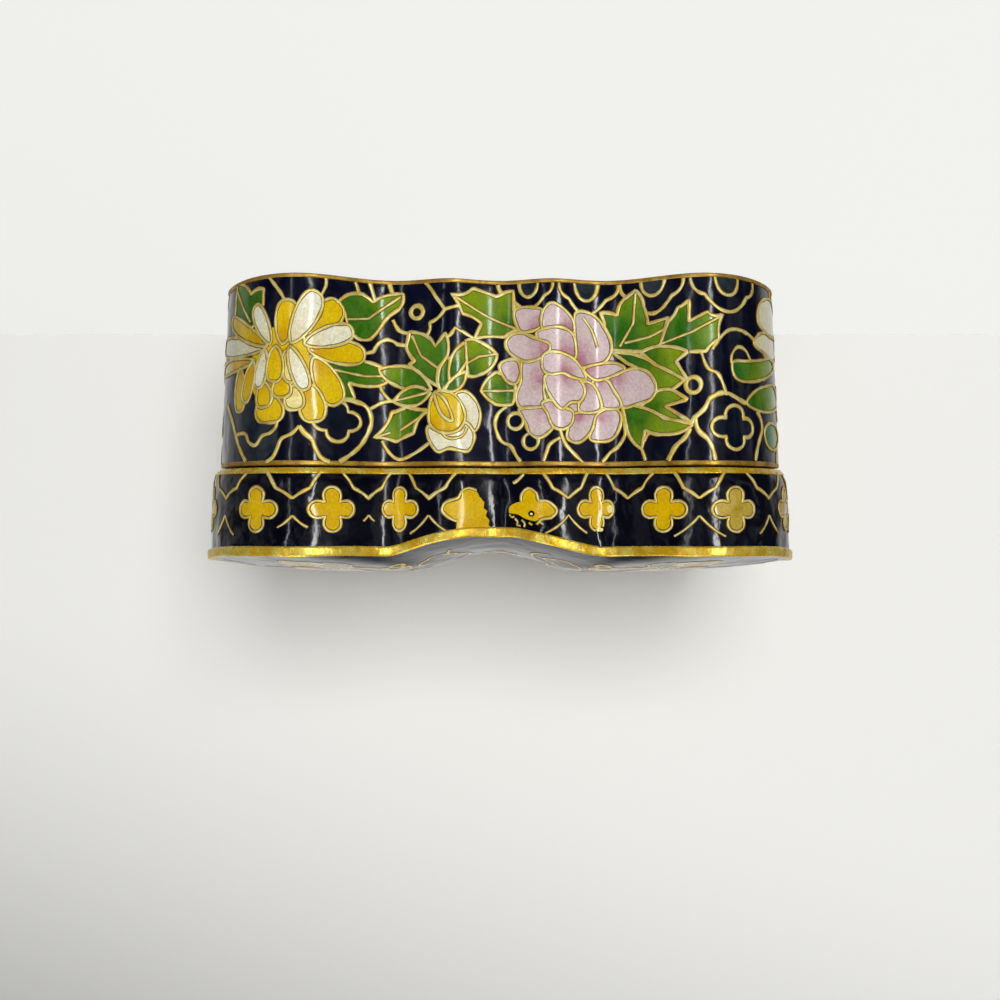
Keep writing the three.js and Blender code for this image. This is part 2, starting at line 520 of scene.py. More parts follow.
class Inlay:
    """The enamel cells and the wires on one surface, in the order in which they are laid. A later
    cell covers what is under it."""

    def __init__(self, name, surface, seed):
        self.name = name
        self.surface = surface
        self.shapes = []
        self.lines = []
        self.chance = random.Random(seed)

    def cell(self, outline, family, root=None, wire=WIRE):
        """A cell coloured from its root, and the wire round it. The crown takes only whole ones."""
        if self.surface is CROWN_FACE and not all(self.surface.holds(*p) for p in outline):
            return
        box = span(outline)
        rank = 1
        for shape in self.shapes:
            if shape.rank >= rank and spans_meet(box, shape.box) and overlap(outline, shape.outline):
                rank = shape.rank + 1
        made = SimpleNamespace(outline=outline, family=family, box=box, rank=rank)
        made.root = Vector(root) if root else sum(outline, Vector((0, 0))) / len(outline)
        made.tone = self.chance.random()
        self.shapes.append(made)
        if wire:
            self.line(outline + outline[:1], wire)

    def line(self, path, wire=WIRE):
        self.lines.append(SimpleNamespace(path=path, wire=wire, under=len(self.shapes)))

    def lay_cell(self, bm, shape, layers):
        """Fills a cell with faces that are cut wherever the surface under them bends."""
        face = bm.faces.new([bm.verts.new((p[0], p[1], 0)) for p in shape.outline])
        face.normal_update()
        if face.normal.z < 0:
            face.normal_flip()
        faces = bmesh.ops.triangulate(bm, faces=[face])["faces"]
        edges = dict.fromkeys(e for f in faces for e in f.edges)
        geom = [*faces, *edges, *dict.fromkeys(v for f in faces for v in f.verts)]
        for axis, gap in enumerate(self.surface.cuts):
            across = Vector((1 - axis, axis, 0))
            low, high = shape.box[2 * axis : 2 * axis + 2]
            for k in range(math.ceil(low / gap), math.floor(high / gap) + 1):
                cut = {"plane_co": across * (k * gap), "plane_no": across}
                geom = bmesh.ops.bisect_plane(bm, geom=geom, dist=1e-5, **cut)["geom"]
        furthest = max((p - shape.root).length for p in shape.outline)
        lift = self.surface.layer * shape.rank
        reach, tone, facing = layers
        for vert in {part for part in geom if isinstance(part, bmesh.types.BMVert)}:
            u, v, _ = vert.co
            vert[reach] = (Vector((u, v)) - shape.root).length / furthest
            vert[tone] = shape.tone
            vert[facing] = self.surface.normal(u, v)
            vert.co = self.surface.place(u, v, lift)

    def cells_piece(self, family, material):
        shapes = [shape for shape in self.shapes if shape.family == family]
        if not shapes:
            return
        bm = bmesh.new()
        kinds = bm.verts.layers
        layers = kinds.float.new("reach"), kinds.float.new("tone"), kinds.float_vector.new("facing")
        for shape in shapes:
            self.lay_cell(bm, shape, layers)
        new_mesh_piece(f"{self.name}_{family}", bm, [material])

    def showing_runs(self, line):
        """The stretches of a wire that no later cell covers."""
        path = even_steps(line.path, WIRE_STEP)
        low_u, high_u, low_v, high_v = span(path)
        covers = []
        for shape in self.shapes[line.under:]:
            for shift in self.surface.shifts:
                if spans_meet((low_u + shift, high_u + shift, low_v, high_v), shape.box):
                    covers.append((shift, shape.outline))
        runs = [[]]
        for u, v in path:
            covered = any(inside((u + shift, v), outline) for shift, outline in covers)
            if self.surface.holds(u, v) and not covered:
                runs[-1].append(Vector((u, v)))
            elif runs[-1]:
                runs.append([])
        if len(runs) > 1 and not runs[-1]:
            runs.pop()
        closed = (path[0] - path[-1]).length < SAME_PLACE
        if closed and len(runs) > 1 and runs[0][0] == path[0] and runs[-1][-1] == path[-1]:
            runs[0] = runs.pop() + runs[0][1:]
        return [run for run in runs if len(run) > 2]

    def ribbon(self, bm, run, section):
        """A strip along a run, with the section's (sideways, lift) points across it."""
        closed = len(run) > 4 and (run[0] - run[-1]).length < SAME_PLACE
        first, last = (run[-2], run[1]) if closed else (run[0], run[-1])
        sides = []
        for before, after in zip([first] + run[:-1], run[1:] + [last]):
            along = (after - before).normalized()
            sides.append(Vector((-along.y, along.x)))

        def place(column, row):
            sideways, lift = section[row]
            here = run[column]
            uneven = 1 + ripple((here.x, here.y, 0.0), WIRE_WAVE, WIRE_UNEVENNESS)
            spot = here + sides[column] * sideways * uneven
            return self.surface.place(spot.x, spot.y, lift)

        bend_grid(bm, len(run) - 1, len(section) - 1, place)

    def wires_pieces(self, wire_material):
        """The wires, and the tarnished seats that they stand on."""
        wires, seats = bmesh.new(), bmesh.new()
        for line in self.lines:
            half = line.wire / 2
            out = half + SEAT_SPREAD / 2
            top = out * SEAT_LEAN
            seat = ((out, SEAT_FOOT), (top, SEAT_TOP), (-top, SEAT_TOP), (-out, SEAT_FOOT))
            side, shoulder = half * CREST_SHOULDER[0], mix(SEAT_TOP, WIRE_TOP, CREST_SHOULDER[1])
            rise = ((half, CREST_FOOT), (side, shoulder), (0, WIRE_TOP))
            crest = (*rise, (-side, shoulder), (-half, CREST_FOOT))
            for run in self.showing_runs(line):
                self.ribbon(wires, run, crest)
                self.ribbon(seats, run, seat)
        for name, bm, material in (("wires", wires, wire_material), ("wire_seats", seats, SEAT_BROWN)):
            bmesh.ops.remove_doubles(bm, verts=bm.verts, dist=WELD)
            new_mesh_piece(f"{self.name}_{name}", bm, [material])


# ---------------------------------------------------------------- flowers and leaves

# Each row is a petal: where it starts and ends, seen from the flower's middle, its width and its
# colour. Outer petals come first, because inner ones are laid over them.
CHRYSANTHEMUM = (
    ((3.9, 1.6), (16.8, 1.8), 1.7, "yellow"),
    ((2.1, 0.2), (16.6, -1.3), 2.6, "white"),
    ((1.7, -0.1), (11.4, -4.2), 2.1, "yellow"),
    ((1.2, -0.3), (4.3, -5.1), 2.3, "white"),
    ((7.5, 2.2), (7.3, 7.6), 3.0, "yellow"),
    ((4.2, 1.6), (6.2, 6.4), 2.4, "yellow"),
    ((-4.6, 1.4), (-7.7, 6.8), 3.3, "yellow"),
    ((-3.9, 0.4), (-11.3, 0.7), 2.9, "yellow"),
    ((-3.5, -0.5), (-8.1, -5.4), 3.4, "yellow"),
    ((-0.5, -0.2), (-1.3, -5.5), 3.0, "yellow"),
    ((-3.4, -0.2), (-9.8, -2.2), 2.5, "white"),
    ((-1.7, -0.3), (-5.2, -6.5), 3.1, "white"),
    ((-4.1, 4.6), (-4.6, 9.1), 3.2, "yellow"),
    ((1.3, 5.6), (1.3, 9.2), 4.3, "yellow"),
    ((2.3, 4.2), (2.0, 7.3), 2.6, "yellow"),
    ((-2.1, 4.8), (-2.2, 7.7), 2.5, "gold"),
    ((-0.5, 3.7), (-0.5, 6.2), 2.6, "yellow"),
    ((-1.0, 0.6), (-2.0, 4.4), 2.1, "gold"),
    ((-1.5, 0.1), (-3.6, 5.3), 2.1, "white"),
    ((2.1, 0.3), (3.3, 4.9), 2.1, "white"),
    ((0.4, 0.0), (0.6, 4.3), 2.5, "yellow"),
)
# Flowers of soft-edged cells. Under its colour, each cell is the corners that its outline runs through.
PEONY = {
    "pink": (
        ((7.4, -7.5), (4.0, -7.3), (4.1, -5.2), (6.1, -4.6), (7.1, -5.2)),
        ((3.8, -4.9), (3.9, -6.8), (2.6, -8.1), (0.7, -7.3), (-0.5, -5.9), (-0.4, -4.4), (1.8, -4.9)),
        ((-0.8, -6.9), (-2.9, -6.9), (-4.4, -5.1), (-5.1, -2.8), (-4.3, -1.0), (-2.4, -0.4), (-0.7, -0.6),
         (-0.7, -3.7)),
        ((9.2, -0.5), (8.2, -1.3), (7.0, -1.1), (6.6, 0.4), (7.2, 1.7), (8.4, 1.3)),
        ((6.5, -0.9), (4.9, -1.3), (3.4, -0.8), (3.3, 0.8), (3.6, 2.6), (3.3, 4.6), (5.1, 4.9), (6.7, 4.6),
         (7.2, 3.1), (6.6, 1.4)),
        ((6.8, 4.9), (5.1, 4.7), (3.3, 4.8), (2.7, 6.1), (2.4, 7.2), (4.0, 8.4), (5.4, 7.8), (6.0, 6.3)),
        ((-0.2, 5.6), (-1.6, 5.2), (-3.3, 5.4), (-3.0, 6.9), (-1.9, 8.4), (-0.7, 9.0), (0.6, 8.4),
         (0.3, 6.8)),
        ((-3.3, 5.6), (-4.6, 4.7), (-5.9, 5.0), (-6.3, 6.2), (-5.6, 8.1), (-4.3, 8.8), (-2.4, 8.5),
         (-2.9, 7.0)),
        ((3.8, 4.2), (2.5, 3.8), (1.1, 4.7), (-0.2, 5.1), (0.0, 6.7), (1.3, 7.4), (2.5, 6.9), (3.1, 5.5)),
        ((-4.3, 1.4), (-6.2, 0.3), (-8.0, -0.1), (-9.8, 0.6), (-10.8, 2.4), (-10.1, 3.8), (-8.3, 4.3),
         (-6.5, 4.6), (-5.4, 3.0)),
        ((-2.9, 1.4), (-4.5, 1.2), (-5.3, 2.4), (-6.3, 4.4), (-5.0, 4.8), (-3.8, 4.5), (-3.4, 3.0)),
        ((-1.6, 1.6), (-2.8, 1.7), (-3.6, 3.0), (-3.9, 4.8), (-2.4, 5.3), (-1.0, 5.0), (-1.2, 3.7)),
        ((-1.8, -0.1), (-3.8, -0.8), (-5.4, -0.9), (-6.7, -0.1), (-5.0, 0.8), (-3.2, 1.2)),
        ((4.7, -4.3), (3.2, -5.0), (1.1, -5.1), (-0.4, -4.3), (-0.8, -2.5), (-0.5, -1.2), (1.5, -1.6),
         (3.1, -2.3)),
        ((8.5, -3.5), (7.6, -4.5), (6.2, -4.4), (4.6, -3.7), (2.8, -3.0), (3.1, -1.9), (4.4, -1.2),
         (6.2, -1.0), (8.0, -2.1)),
        ((3.5, 1.0), (2.0, 0.4), (0.4, 0.3), (-1.1, 1.1), (-1.9, 2.5), (-1.3, 3.9), (0.1, 4.1), (1.1, 4.9),
         (2.0, 4.3), (3.1, 2.7)),
        ((3.8, -1.5), (2.8, -2.1), (0.9, -1.9), (-0.8, -1.0), (-2.1, 1.1), (-0.3, 1.0), (1.0, 0.5),
         (2.6, 0.7), (3.7, 0.1)),
    ),
}
PEONY_LINES = (((-1.8, -6.4), (-2.9, -4.8), (-3.5, -2.8)),)
BUD = {
    "white": (
        ((-0.7, -2.2), (-2.1, -2.7), (-3.4, -1.6), (-4.0, 0.0), (-3.7, 1.6), (-3.0, 2.2), (-1.7, 1.3),
         (-1.5, -0.6)),
        ((2.8, 1.6), (2.7, 3.1), (1.5, 4.7), (0.1, 4.3), (-1.0, 4.5), (-2.4, 4.6), (-3.2, 3.0),
         (-2.9, 1.9), (-1.9, 1.1), (0.6, 1.6)),
    ),
    "yellow": (
        ((2.0, -2.5), (2.7, -0.6), (2.5, 1.4), (0.8, 2.4), (-1.2, 2.0), (-2.0, 0.3), (-1.1, -1.8),
         (0.5, -2.7)),
        ((2.0, -2.4), (0.6, -1.6), (-0.4, 0.9), (1.1, 0.1)),
    ),
}
BUD_LINES = (((1.0, 2.2), (0.6, 2.8), (-0.4, 3.1), (-1.7, 2.7), (-2.2, 1.7)),)
# The white flower round the end of the box, seen from the middle of the front.
END_FLOWER = {
    "green": (
        ((-36.6, 18.6), (-38.5, 17.5), (-42.0, 17.7), (-43.8, 19.2), (-41.0, 20.7), (-37.6, 20.4)),
        ((-32.3, 15.4), (-34.6, 13.7), (-38.0, 12.9), (-41.5, 12.6), (-46.0, 14.3), (-41.0, 15.8),
         (-35.8, 16.2)),
        ((-30.0, 10.6), (-32.7, 10.3), (-36.0, 9.9), (-40.5, 9.2), (-42.0, 10.4), (-37.5, 12.0),
         (-32.6, 12.8), (-30.4, 12.4)),
    ),
    "white": (
        ((-47.0, 6.4), (-51.0, 6.0), (-55.0, 7.5), (-54.0, 9.8), (-49.0, 9.4)),
        ((-47.0, 5.9), (-48.0, 3.2), (-52.0, 1.6), (-55.0, 3.0), (-53.0, 5.4), (-50.0, 6.0)),
        ((-34.5, 7.6), (-36.8, 6.4), (-41.0, 6.2), (-46.0, 6.4), (-46.0, 8.4), (-42.0, 9.4), (-38.2, 9.0),
         (-35.1, 8.4)),
        ((-36.4, 2.9), (-39.2, 1.8), (-43.0, 1.6), (-47.0, 3.2), (-46.0, 5.9), (-41.0, 6.4), (-38.6, 6.2),
         (-35.8, 5.2)),
    ),
    "yellow": (((-45.6, 7.0), (-47.0, 8.4), (-48.6, 7.0), (-47.2, 5.4)),),
}
# Each leaf is its outline as corners with bows, and its veins as plain corners.
MUM_LEAVES = (
    (
        ((9.9, -8.5, 0.1), (5.3, -6.7, 0.1), (2.7, -7.0), (2.7, -5.0, 0.1), (4.9, -2.5), (10.0, -4.6)),
        (((9.6, -7.6), (5.2, -3.2)),),
    ),
    (
        ((-8.0, -5.6, 0.12), (-11.1, -6.8, 0.05), (-12.4, -5.9, 0.1), (-15.7, -7.1, 0.1),
         (-15.3, -5.2, -0.05), (-13.6, -3.5, 0.05), (-12.0, -1.3, 0.1), (-10.3, -1.3, 0.1), (-8.8, -4.2)),
        (((-8.9, -3.5), (-11.8, -3.8), (-15.4, -6.7)),),
    ),
    (
        ((-6.1, 2.1, 0.1), (-11.3, 1.5, 0.08), (-14.7, 3.0, 0.1), (-12.9, 4.4, 0.05), (-9.1, 4.2),
         (-9.9, 6.1), (-8.2, 6.2, 0.1), (-7.2, 4.0)),
        (((-6.8, 2.7), (-11.3, 3.3), (-14.5, 3.1)),),
    ),
)
PEONY_LEAVES = (
    (
        ((-3.9, -7.1, 0.1), (-5.7, -6.7, 0.1), (-6.4, -8.7), (-7.8, -9.7, 0.1), (-8.9, -7.6, 0.05),
         (-9.5, -5.4), (-12.2, -5.9), (-11.2, -2.7), (-8.6, -2.1), (-5.1, -2.5, 0.1), (-4.3, -5.9)),
        (((-6.0, -2.9), (-7.6, -5.6), (-7.8, -9.3)), ((-6.6, -3.3), (-9.7, -3.8), (-12.0, -4.7))),
    ),
    (
        ((-11.2, -2.7), (-12.2, -5.5, -0.1), (-13.4, -7.0, -0.05), (-14.9, -7.9), (-14.9, -5.3),
         (-17.3, -6.4, -0.15), (-19.4, -6.1, -0.1), (-18.9, -3.1, -0.1), (-17.1, -1.7),
         (-14.8, -1.7, 0.05)),
        (((-11.2, -2.8), (-15.2, -4.0), (-19.0, -5.8)),),
    ),
    (
        ((-8.6, -2.0, 0.08), (-11.8, -2.5, 0.05), (-14.8, -1.7), (-13.3, -0.6), (-14.8, 1.7, 0.05),
         (-10.7, -0.3)),
        (),
    ),
    (
        ((-5.1, -2.2, 0.05), (-8.4, -1.6, 0.03), (-10.7, -0.3, 0.02), (-14.4, 1.7), (-12.7, 2.9, 0.1),
         (-10.8, 2.8), (-9.1, 0.3), (-6.9, -0.8)),
        (),
    ),
    (
        ((-8.7, 4.6), (-11.0, 2.8, 0.08), (-12.9, 2.8), (-14.8, 4.0), (-12.0, 4.7), (-15.5, 6.9, 0.05),
         (-11.9, 6.0)),
        (),
    ),
    (
        ((-6.4, 4.6, 0.1), (-8.8, 4.7, 0.05), (-11.9, 6.2, 0.02), (-15.5, 7.0, 0.1), (-12.3, 8.1, 0.08),
         (-9.4, 7.5), (-9.0, 9.8, 0.1), (-7.0, 7.4)),
        (),
    ),
    (
        ((15.3, -9.2, -0.15), (12.2, -10.0, 0.02), (9.4, -9.1, 0.1), (7.7, -9.8), (7.6, -8.0, -0.05),
         (6.9, -5.0, -0.1), (8.6, -4.1, -0.05), (12.1, -3.8), (11.2, -5.7, -0.08), (13.7, -6.8, -0.08)),
        (((15.1, -9.1), (10.3, -6.5), (7.2, -5.0)),),
    ),
    (
        ((11.4, 2.6, 0.08), (9.5, 0.2, 0.05), (7.3, 1.9, 0.05), (7.6, 4.2, 0.05), (9.6, 4.2, 0.05)),
        (((11.3, 2.6), (7.5, 2.5)),),
    ),
)
BUD_LEAVES = (
    (
        ((5.4, -10.1, 0.05), (3.2, -9.5, 0.1), (2.0, -8.1), (0.6, -9.8, 0.1), (0.3, -7.0),
         (1.5, -5.5, -0.05), (1.6, -3.3, 0.03), (5.4, -6.1), (4.7, -6.5, 0.08), (5.8, -8.3)),
        (((5.1, -9.6), (3.9, -7.1), (1.6, -5.5)),),
    ),
    (((1.2, -2.6, -0.22), (0.2, -6.9, -0.18)), ()),
    (((0.0, -3.9, -0.14), (-2.8, -9.0, -0.2)), ()),
    (
        ((-2.2, -8.9, 0.12), (-3.9, -8.9, 0.08), (-6.1, -7.3, 0.15), (-4.0, -4.8, 0.12), (-2.4, -4.6)),
        (((-2.2, -6.0), (-3.9, -7.0), (-6.0, -7.4)),),
    ),
    (((0.8, -2.6, 0.12), (-2.3, -5.1, 0.25)), ()),
    (((2.4, -2.9, -0.22), (8.9, -5.5, -0.1), (7.6, -3.9, -0.1)), ()),
    (((2.5, -2.5, -0.28), (7.2, -1.5, -0.22)), (((2.7, -2.6), (6.9, -1.7)),)),
    (
        ((9.6, 2.9, -0.1), (7.4, -0.2, -0.06), (5.7, -0.9, -0.04), (2.8, -0.4, -0.12), (4.7, 2.4, -0.05),
         (6.8, 3.4, -0.05)),
        (((2.9, -0.2), (6.4, 2.0)), ((9.4, 2.9), (7.6, 2.3))),
    ),
)
FLOWER_HEART = (0.6, 0.8)  # the place that a flower's cells take their root colour from


class Place:
    """Where a motif is drawn: its middle, 1 or -1 to mirror it, how far it is turned, its size."""

    def __init__(self, at, flip=1, degrees=0.0, size=1.0):
        self.at = at
        self.flip = flip
        self.turn = math.radians(degrees)
        self.size = size

    def put(self, point):
        """A point seen from the motif's middle, on the surface."""
        u, v = Vector(point[:2]) * self.size
        u *= self.flip
        c, s = math.cos(self.turn), math.sin(self.turn)
        return Vector((self.at[0] + u * c - v * s, self.at[1] + u * s + v * c))


def heart(inlay, family, middle, across, tall, *place):
    """The colour between a flower's petals."""
    put = Place(*place).put
    inlay.cell([put(p) for p in oval(middle, across, tall)], family, root=put(middle), wire=0)


def flower(inlay, rows, *place):
    place = Place(*place)
    for root, tip, width, family in rows:
        start = place.put(root)
        inlay.cell(petal(start, place.put(tip), width * place.size), family, root=start, wire=PETAL_WIRE)


def blossom(inlay, cells, lines, *place):
    """A flower of soft-edged cells, each coloured from the side that is nearest to its heart."""
    put = Place(*place).put
    middle = put(FLOWER_HEART)
    for family, rows in cells.items():
        for corners in rows:
            outline = smooth([put(corner) for corner in corners])
            near = min(outline, key=lambda p: (p - middle).length)
            inlay.cell(outline, family, root=near, wire=PETAL_WIRE)
    for corners in lines:
        inlay.line(smooth([put(corner) for corner in corners], closed=False), FINE_WIRE)


def leaves(inlay, group, *place):
    place = Place(*place)
    middle = place.put((0, 0))
    for corners, veins in group:
        outline = bowed([(*place.put(corner), sum(corner[2:]) * place.flip) for corner in corners])
        inlay.cell(outline, "green", root=min(outline, key=lambda p: (p - middle).length))
        for vein in veins:
            inlay.line([place.put(point) for point in vein], FINE_WIRE)


# ---------------------------------------------------------------- the body's patterns

FESTOONS = (  # middle, half width and drop of the U, reach and depth of its collar
    (-3.3, 1.25, 2.2, 3.5, 3.7), (-11.3, 1.45, 2.6, 3.6, 4.3), (-19.1, 1.6, 2.3, 4.1, 4.5),
    (-29.5, 1.9, 2.6, 5.4, 4.6),
)
MIST = (
    (37.2, 18.2), (35.8, 19.9), (33.1, 22.3), (30.4, 22.4), (28.2, 20.9), (28.3, 16.6), (32.0, 15.0),
    (35.5, 15.4),
)
FRONT_SCROLLS = (
    ((36.4, 19.1), (33.9, 19.0), (32.9, 20.1), (31.6, 20.5), (30.5, 19.4), (29.3, 19.1), (28.4, 18.3),
     (28.3, 16.8)),
    ((30.4, 22.8), (28.9, 22.1), (28.2, 20.9), (27.7, 19.8), (26.4, 19.2), (25.5, 18.3)),
    ((30.3, 0.2), (28.2, 2.3), (27.4, 3.6)),
    ((22.0, 0.2, 0.08), (22.0, 1.4), (22.6, 2.5)),
    ((18.2, 0.3, 0.1), (17.7, 2.2)),
    ((16.2, 0.4), (15.6, 2.8)),
    ((14.1, 0.2), (13.7, 1.8)),
    ((13.7, 4.9), (13.0, 6.2), (11.9, 6.6)),
    ((17.4, 9.3), (15.9, 8.9, 0.12), (14.4, 7.3, 0.1), (13.2, 7.9), (12.0, 8.1)),
    ((16.5, 16.0), (15.1, 15.2, 0.05), (13.6, 14.9)),
    ((14.5, 11.6), (15.1, 13.3), (14.0, 14.9)),
    ((15.0, 19.8), (14.2, 21.2), (12.9, 22.1), (11.0, 21.4), (8.8, 20.0)),
    ((10.4, 0.0, 0.05), (8.5, 2.1), (7.1, 3.8), (4.9, 3.3)),
    ((9.5, 6.9, -0.15), (9.2, 5.4, -0.1), (7.1, 3.8)),
    ((7.6, 7.4, -0.15), (5.6, 6.0, -0.1), (4.6, 6.5), (3.1, 7.3)),
    ((-0.8, 15.6), (0.2, 16.4), (0.6, 17.8), (0.1, 19.5), (-0.5, 20.1), (-1.3, 20.4), (-2.0, 21.6),
     (-2.9, 22.8)),
    ((-5.4, 22.8), (-6.2, 20.4, 0.05), (-7.6, 19.5)),
    ((-7.6, 18.5), (-8.4, 20.4), (-10.9, 22.8)),
    ((-15.6, 16.8, 0.05), (-15.9, 19.0, 0.1), (-14.1, 21.2), (-12.8, 22.8)),
    ((-18.4, 19.9, 0.35), (-21.5, 19.4)),
    ((-18.1, 20.9), (-18.8, 22.8)),
    ((-27.0, 9.2), (-28.1, 7.8), (-29.4, 6.8), (-31.1, 6.6), (-33.5, 7.1), (-35.2, 8.0), (-38.2, 9.4)),
    ((-25.6, 9.6), (-26.4, 11.4), (-27.7, 12.0), (-28.4, 13.2), (-28.9, 14.6)),
    ((-29.9, 11.2), (-29.8, 9.8), (-30.9, 8.7), (-32.4, 9.0), (-33.4, 10.2)),
)
FRONT_BROAD_SCROLLS = (
    ((40.1, 15.2), (38.0, 17.2), (36.4, 19.1), (35.5, 20.3), (34.3, 21.6), (33.1, 22.8)),
    ((25.5, 18.3), (24.8, 19.2), (24.0, 19.8), (23.6, 20.9), (22.7, 22.2), (21.0, 22.6), (19.6, 21.9),
     (17.9, 20.6), (16.8, 19.0), (16.3, 17.2), (17.2, 15.5), (20.2, 14.9)),
    ((-24.6, 17.4), (-26.0, 16.2), (-26.7, 15.0), (-28.7, 14.3), (-31.3, 15.2), (-34.4, 16.1),
     (-35.9, 18.0), (-34.6, 20.4), (-33.6, 22.8)),
    ((-24.8, 17.4), (-25.2, 18.8), (-26.4, 19.9), (-27.0, 21.2), (-27.3, 22.8)),
    ((-24.6, 17.4), (-23.8, 19.4), (-22.4, 20.8), (-21.4, 22.8)),
)
# Away from the front, each unit has a scroll at the mouth and a thin one across the middle.
BACK_PITCH = 8.6
BACK_SCROLL = (
    (3.9, 22.8, 0.08), (3.2, 20.6, 0.05), (1.6, 19.4, 0.1), (0, 18.4, 0.1), (-1.6, 19.4, 0.05),
    (-3.2, 20.6, 0.08), (-3.9, 22.8),
)
MUM_PLACES = (((28.3, 8.7), 1), ((plan.length / 2 + 3.0, 9.2), -1))
PEONY_PLACES = (((-9.1, 11.1), 1), ((73.0, 11.1), -1), ((153.0, 11.1), 1))
BUD_PLACES = (((6.4, 16.5), 1), ((54.0, 15.5), -1), ((131.5, 16.0), 1))


def cloud(inlay, at, size, lobe, stretch=1.0):
    inlay.cell(quatrefoil(at, size, lobe, stretch), "dusk")


def festoon(inlay, at, half, drop, reach, depth):
    """A U at the foot's edge inside a cloud-shaped collar of three lobes."""
    waist, waist_depth = reach * 0.64, depth * 0.56
    bottom_bow = (depth - waist_depth) / (2 * waist)
    left, right = (at + waist, waist_depth, -bottom_bow), (at - waist, waist_depth, -0.2)
    inlay.line(bowed([(at + reach, 0.3, -0.2), left, right, (at - reach, 0.3)], closed=False))
    inlay.cell(hoop(at, half, drop), "slate", wire=0)
    inlay.line(hoop(at, half, drop))


def beside(at, path):
    """The corners of a path that is given by how far they are to one side of a place."""
    return [(at + corner[0], *corner[1:]) for corner in path]


def scroll(inlay, path, wire=WIRE):
    """A wire through the path's corners: arcs where it gives bows, and one soft line where it doesn't."""
    drawn = bowed if any(len(corner) > 2 for corner in path) else smooth
    inlay.line(drawn(path, closed=False), wire)


def front_ground(inlay):
    """The wires and cloud shapes in the blue ground, on the front."""
    inlay.cell([Vector(corner) for corner in MIST], "slate", wire=0)
    for row in FESTOONS:
        festoon(inlay, *row)
    cloud(inlay, (20.8, 17.6), 3.1, 1.45, 0.8)
    cloud(inlay, (-30.1, 18.4), 3.3, 1.45, 0.8)
    for paths, wire in ((FRONT_SCROLLS, WIRE), (FRONT_BROAD_SCROLLS, BROAD_WIRE)):
        for path in paths:
            scroll(inlay, path, wire)
    for at in ((-1.9, 17.4), (-3.9, 19.9)):
        inlay.cell(circle(at, 1.0), "dusk")
    inlay.cell(circle((10.9, 4.0), 0.8), "brown", wire=BROAD_WIRE)
    inlay.cell(circle((-24.6, 13.4), 0.95), "dusk", wire=BROAD_WIRE)


def back_ground(inlay, start, end):
    """Plainer scrolls along the foot and the mouth, away from the front."""
    count = round((end - start) / BACK_PITCH)
    for k in range(count):
        at = mix(start, end, (k + 0.5) / count)
        odd = k % 2
        festoon(inlay, at, 1.5, 2.2, 3.6, 3.9)
        scroll(inlay, beside(at, BACK_SCROLL))
        thin = ((4.3, 9.0 + odd, 0.2), (1.4, 7.6, 0.2), (-1.2, 9.4, 0.2), (-4.3, 10.0 - odd))
        scroll(inlay, beside(at, thin), FINE_WIRE)
        if odd:
            inlay.cell(circle((at, 13.2), 0.85), "brown", wire=BROAD_WIRE)
        else:
            cloud(inlay, (at, 14.6), 2.4, 1.2, 0.9)


def body_inlay():
    inlay = Inlay("body", BODY_FACE, 3)
    front_ground(inlay)
    back_ground(inlay, 45.0, plan.length - 41.0)
    for group, places in ((MUM_LEAVES, MUM_PLACES), (PEONY_LEAVES, PEONY_PLACES), (BUD_LEAVES, BUD_PLACES)):
        for place in places:
            leaves(inlay, group, *place)
    for place in MUM_PLACES:
        heart(inlay, "yellow", (0.3, 2.6), 4.6, 4.9, *place)
        flower(inlay, CHRYSANTHEMUM, *place)
    for place in PEONY_PLACES:
        heart(inlay, "pink", (0.4, 0.4), 6.0, 6.4, *place)
        blossom(inlay, PEONY, PEONY_LINES, *place)
    for place in BUD_PLACES:
        blossom(inlay, BUD, BUD_LINES, *place)
    blossom(inlay, END_FLOWER, (), (plan.length, 0.0))
    return inlay


# ---------------------------------------------------------------- the lid's patterns

SMEARED, PITTED, BLISTERED = 4.5, -4.4, -12.0
# Two units along the front are painted a duller, greyer yellow: a painted reflection of grey on their enamel.
UNITS_WITH_PAINTED_REFLECTION = (-41.0, -29.2)
# The middles of the units along the front, right to left, and how far the lower wire between a unit
# and the next one runs to each side. All are as uneven as the hand that set them.
FRONT_UNITS = (*UNITS_WITH_PAINTED_REFLECTION, -21.4, BLISTERED, PITTED, SMEARED, 12.6, 21.9, 30.3, 43.1)
FRONT_ARMS = (2.4, 2.6, 0.0, 2.3, 0.0, 2.4, 0.8, 1.5, 2.6)
BACK_UNITS = 15
BACK_ARM = 2.4
UNIT_MIDDLE = 28.15
# The upper wire between two units: how far to each side of halfway a corner is, and its height.
UPPER_CORNERS = ((-0.69, 23.8), (-0.43, 25.6), (0, 26.85), (0.43, 25.6), (0.69, 23.8))
UPPER_BOW, LOWER_BOW = -0.04, 0.06
LOWER_TIP = 28.85
ARM_SLOPE = 0.95
STUB = ((1.1, 23.9), (1.7, 24.6), (2.4, 25.0))  # what is left of the upper wire beside the pitted unit
UPPER_WIRE, STUB_WIRE, UNIT_WIRE, THREAD_WIRE = 0.33, 0.3, 0.28, 0.2
# The worn unit beside the middle: its colour ran down to the rim and lost its right-hand wires.
SMEARED_EDGE = (
    (-3.4, 31.4), (-3.2, 30.5), (-2.7, 30.1), (-2.8, 29.5), (-2.3, 29.0), (-2.5, 28.4), (-2.0, 28.0),
    (-2.1, 27.3),
    (-1.5, 26.7), (-1.1, 25.9), (-0.2, 25.6), (0.7, 26.0), (1.0, 26.8), (2.2, 27.3), (2.6, 28.3),
    (1.9, 29.2),
    (1.2, 29.6), (1.4, 31.4),
)
SMEARED_WIRE = SMEARED_EDGE[9:-1]
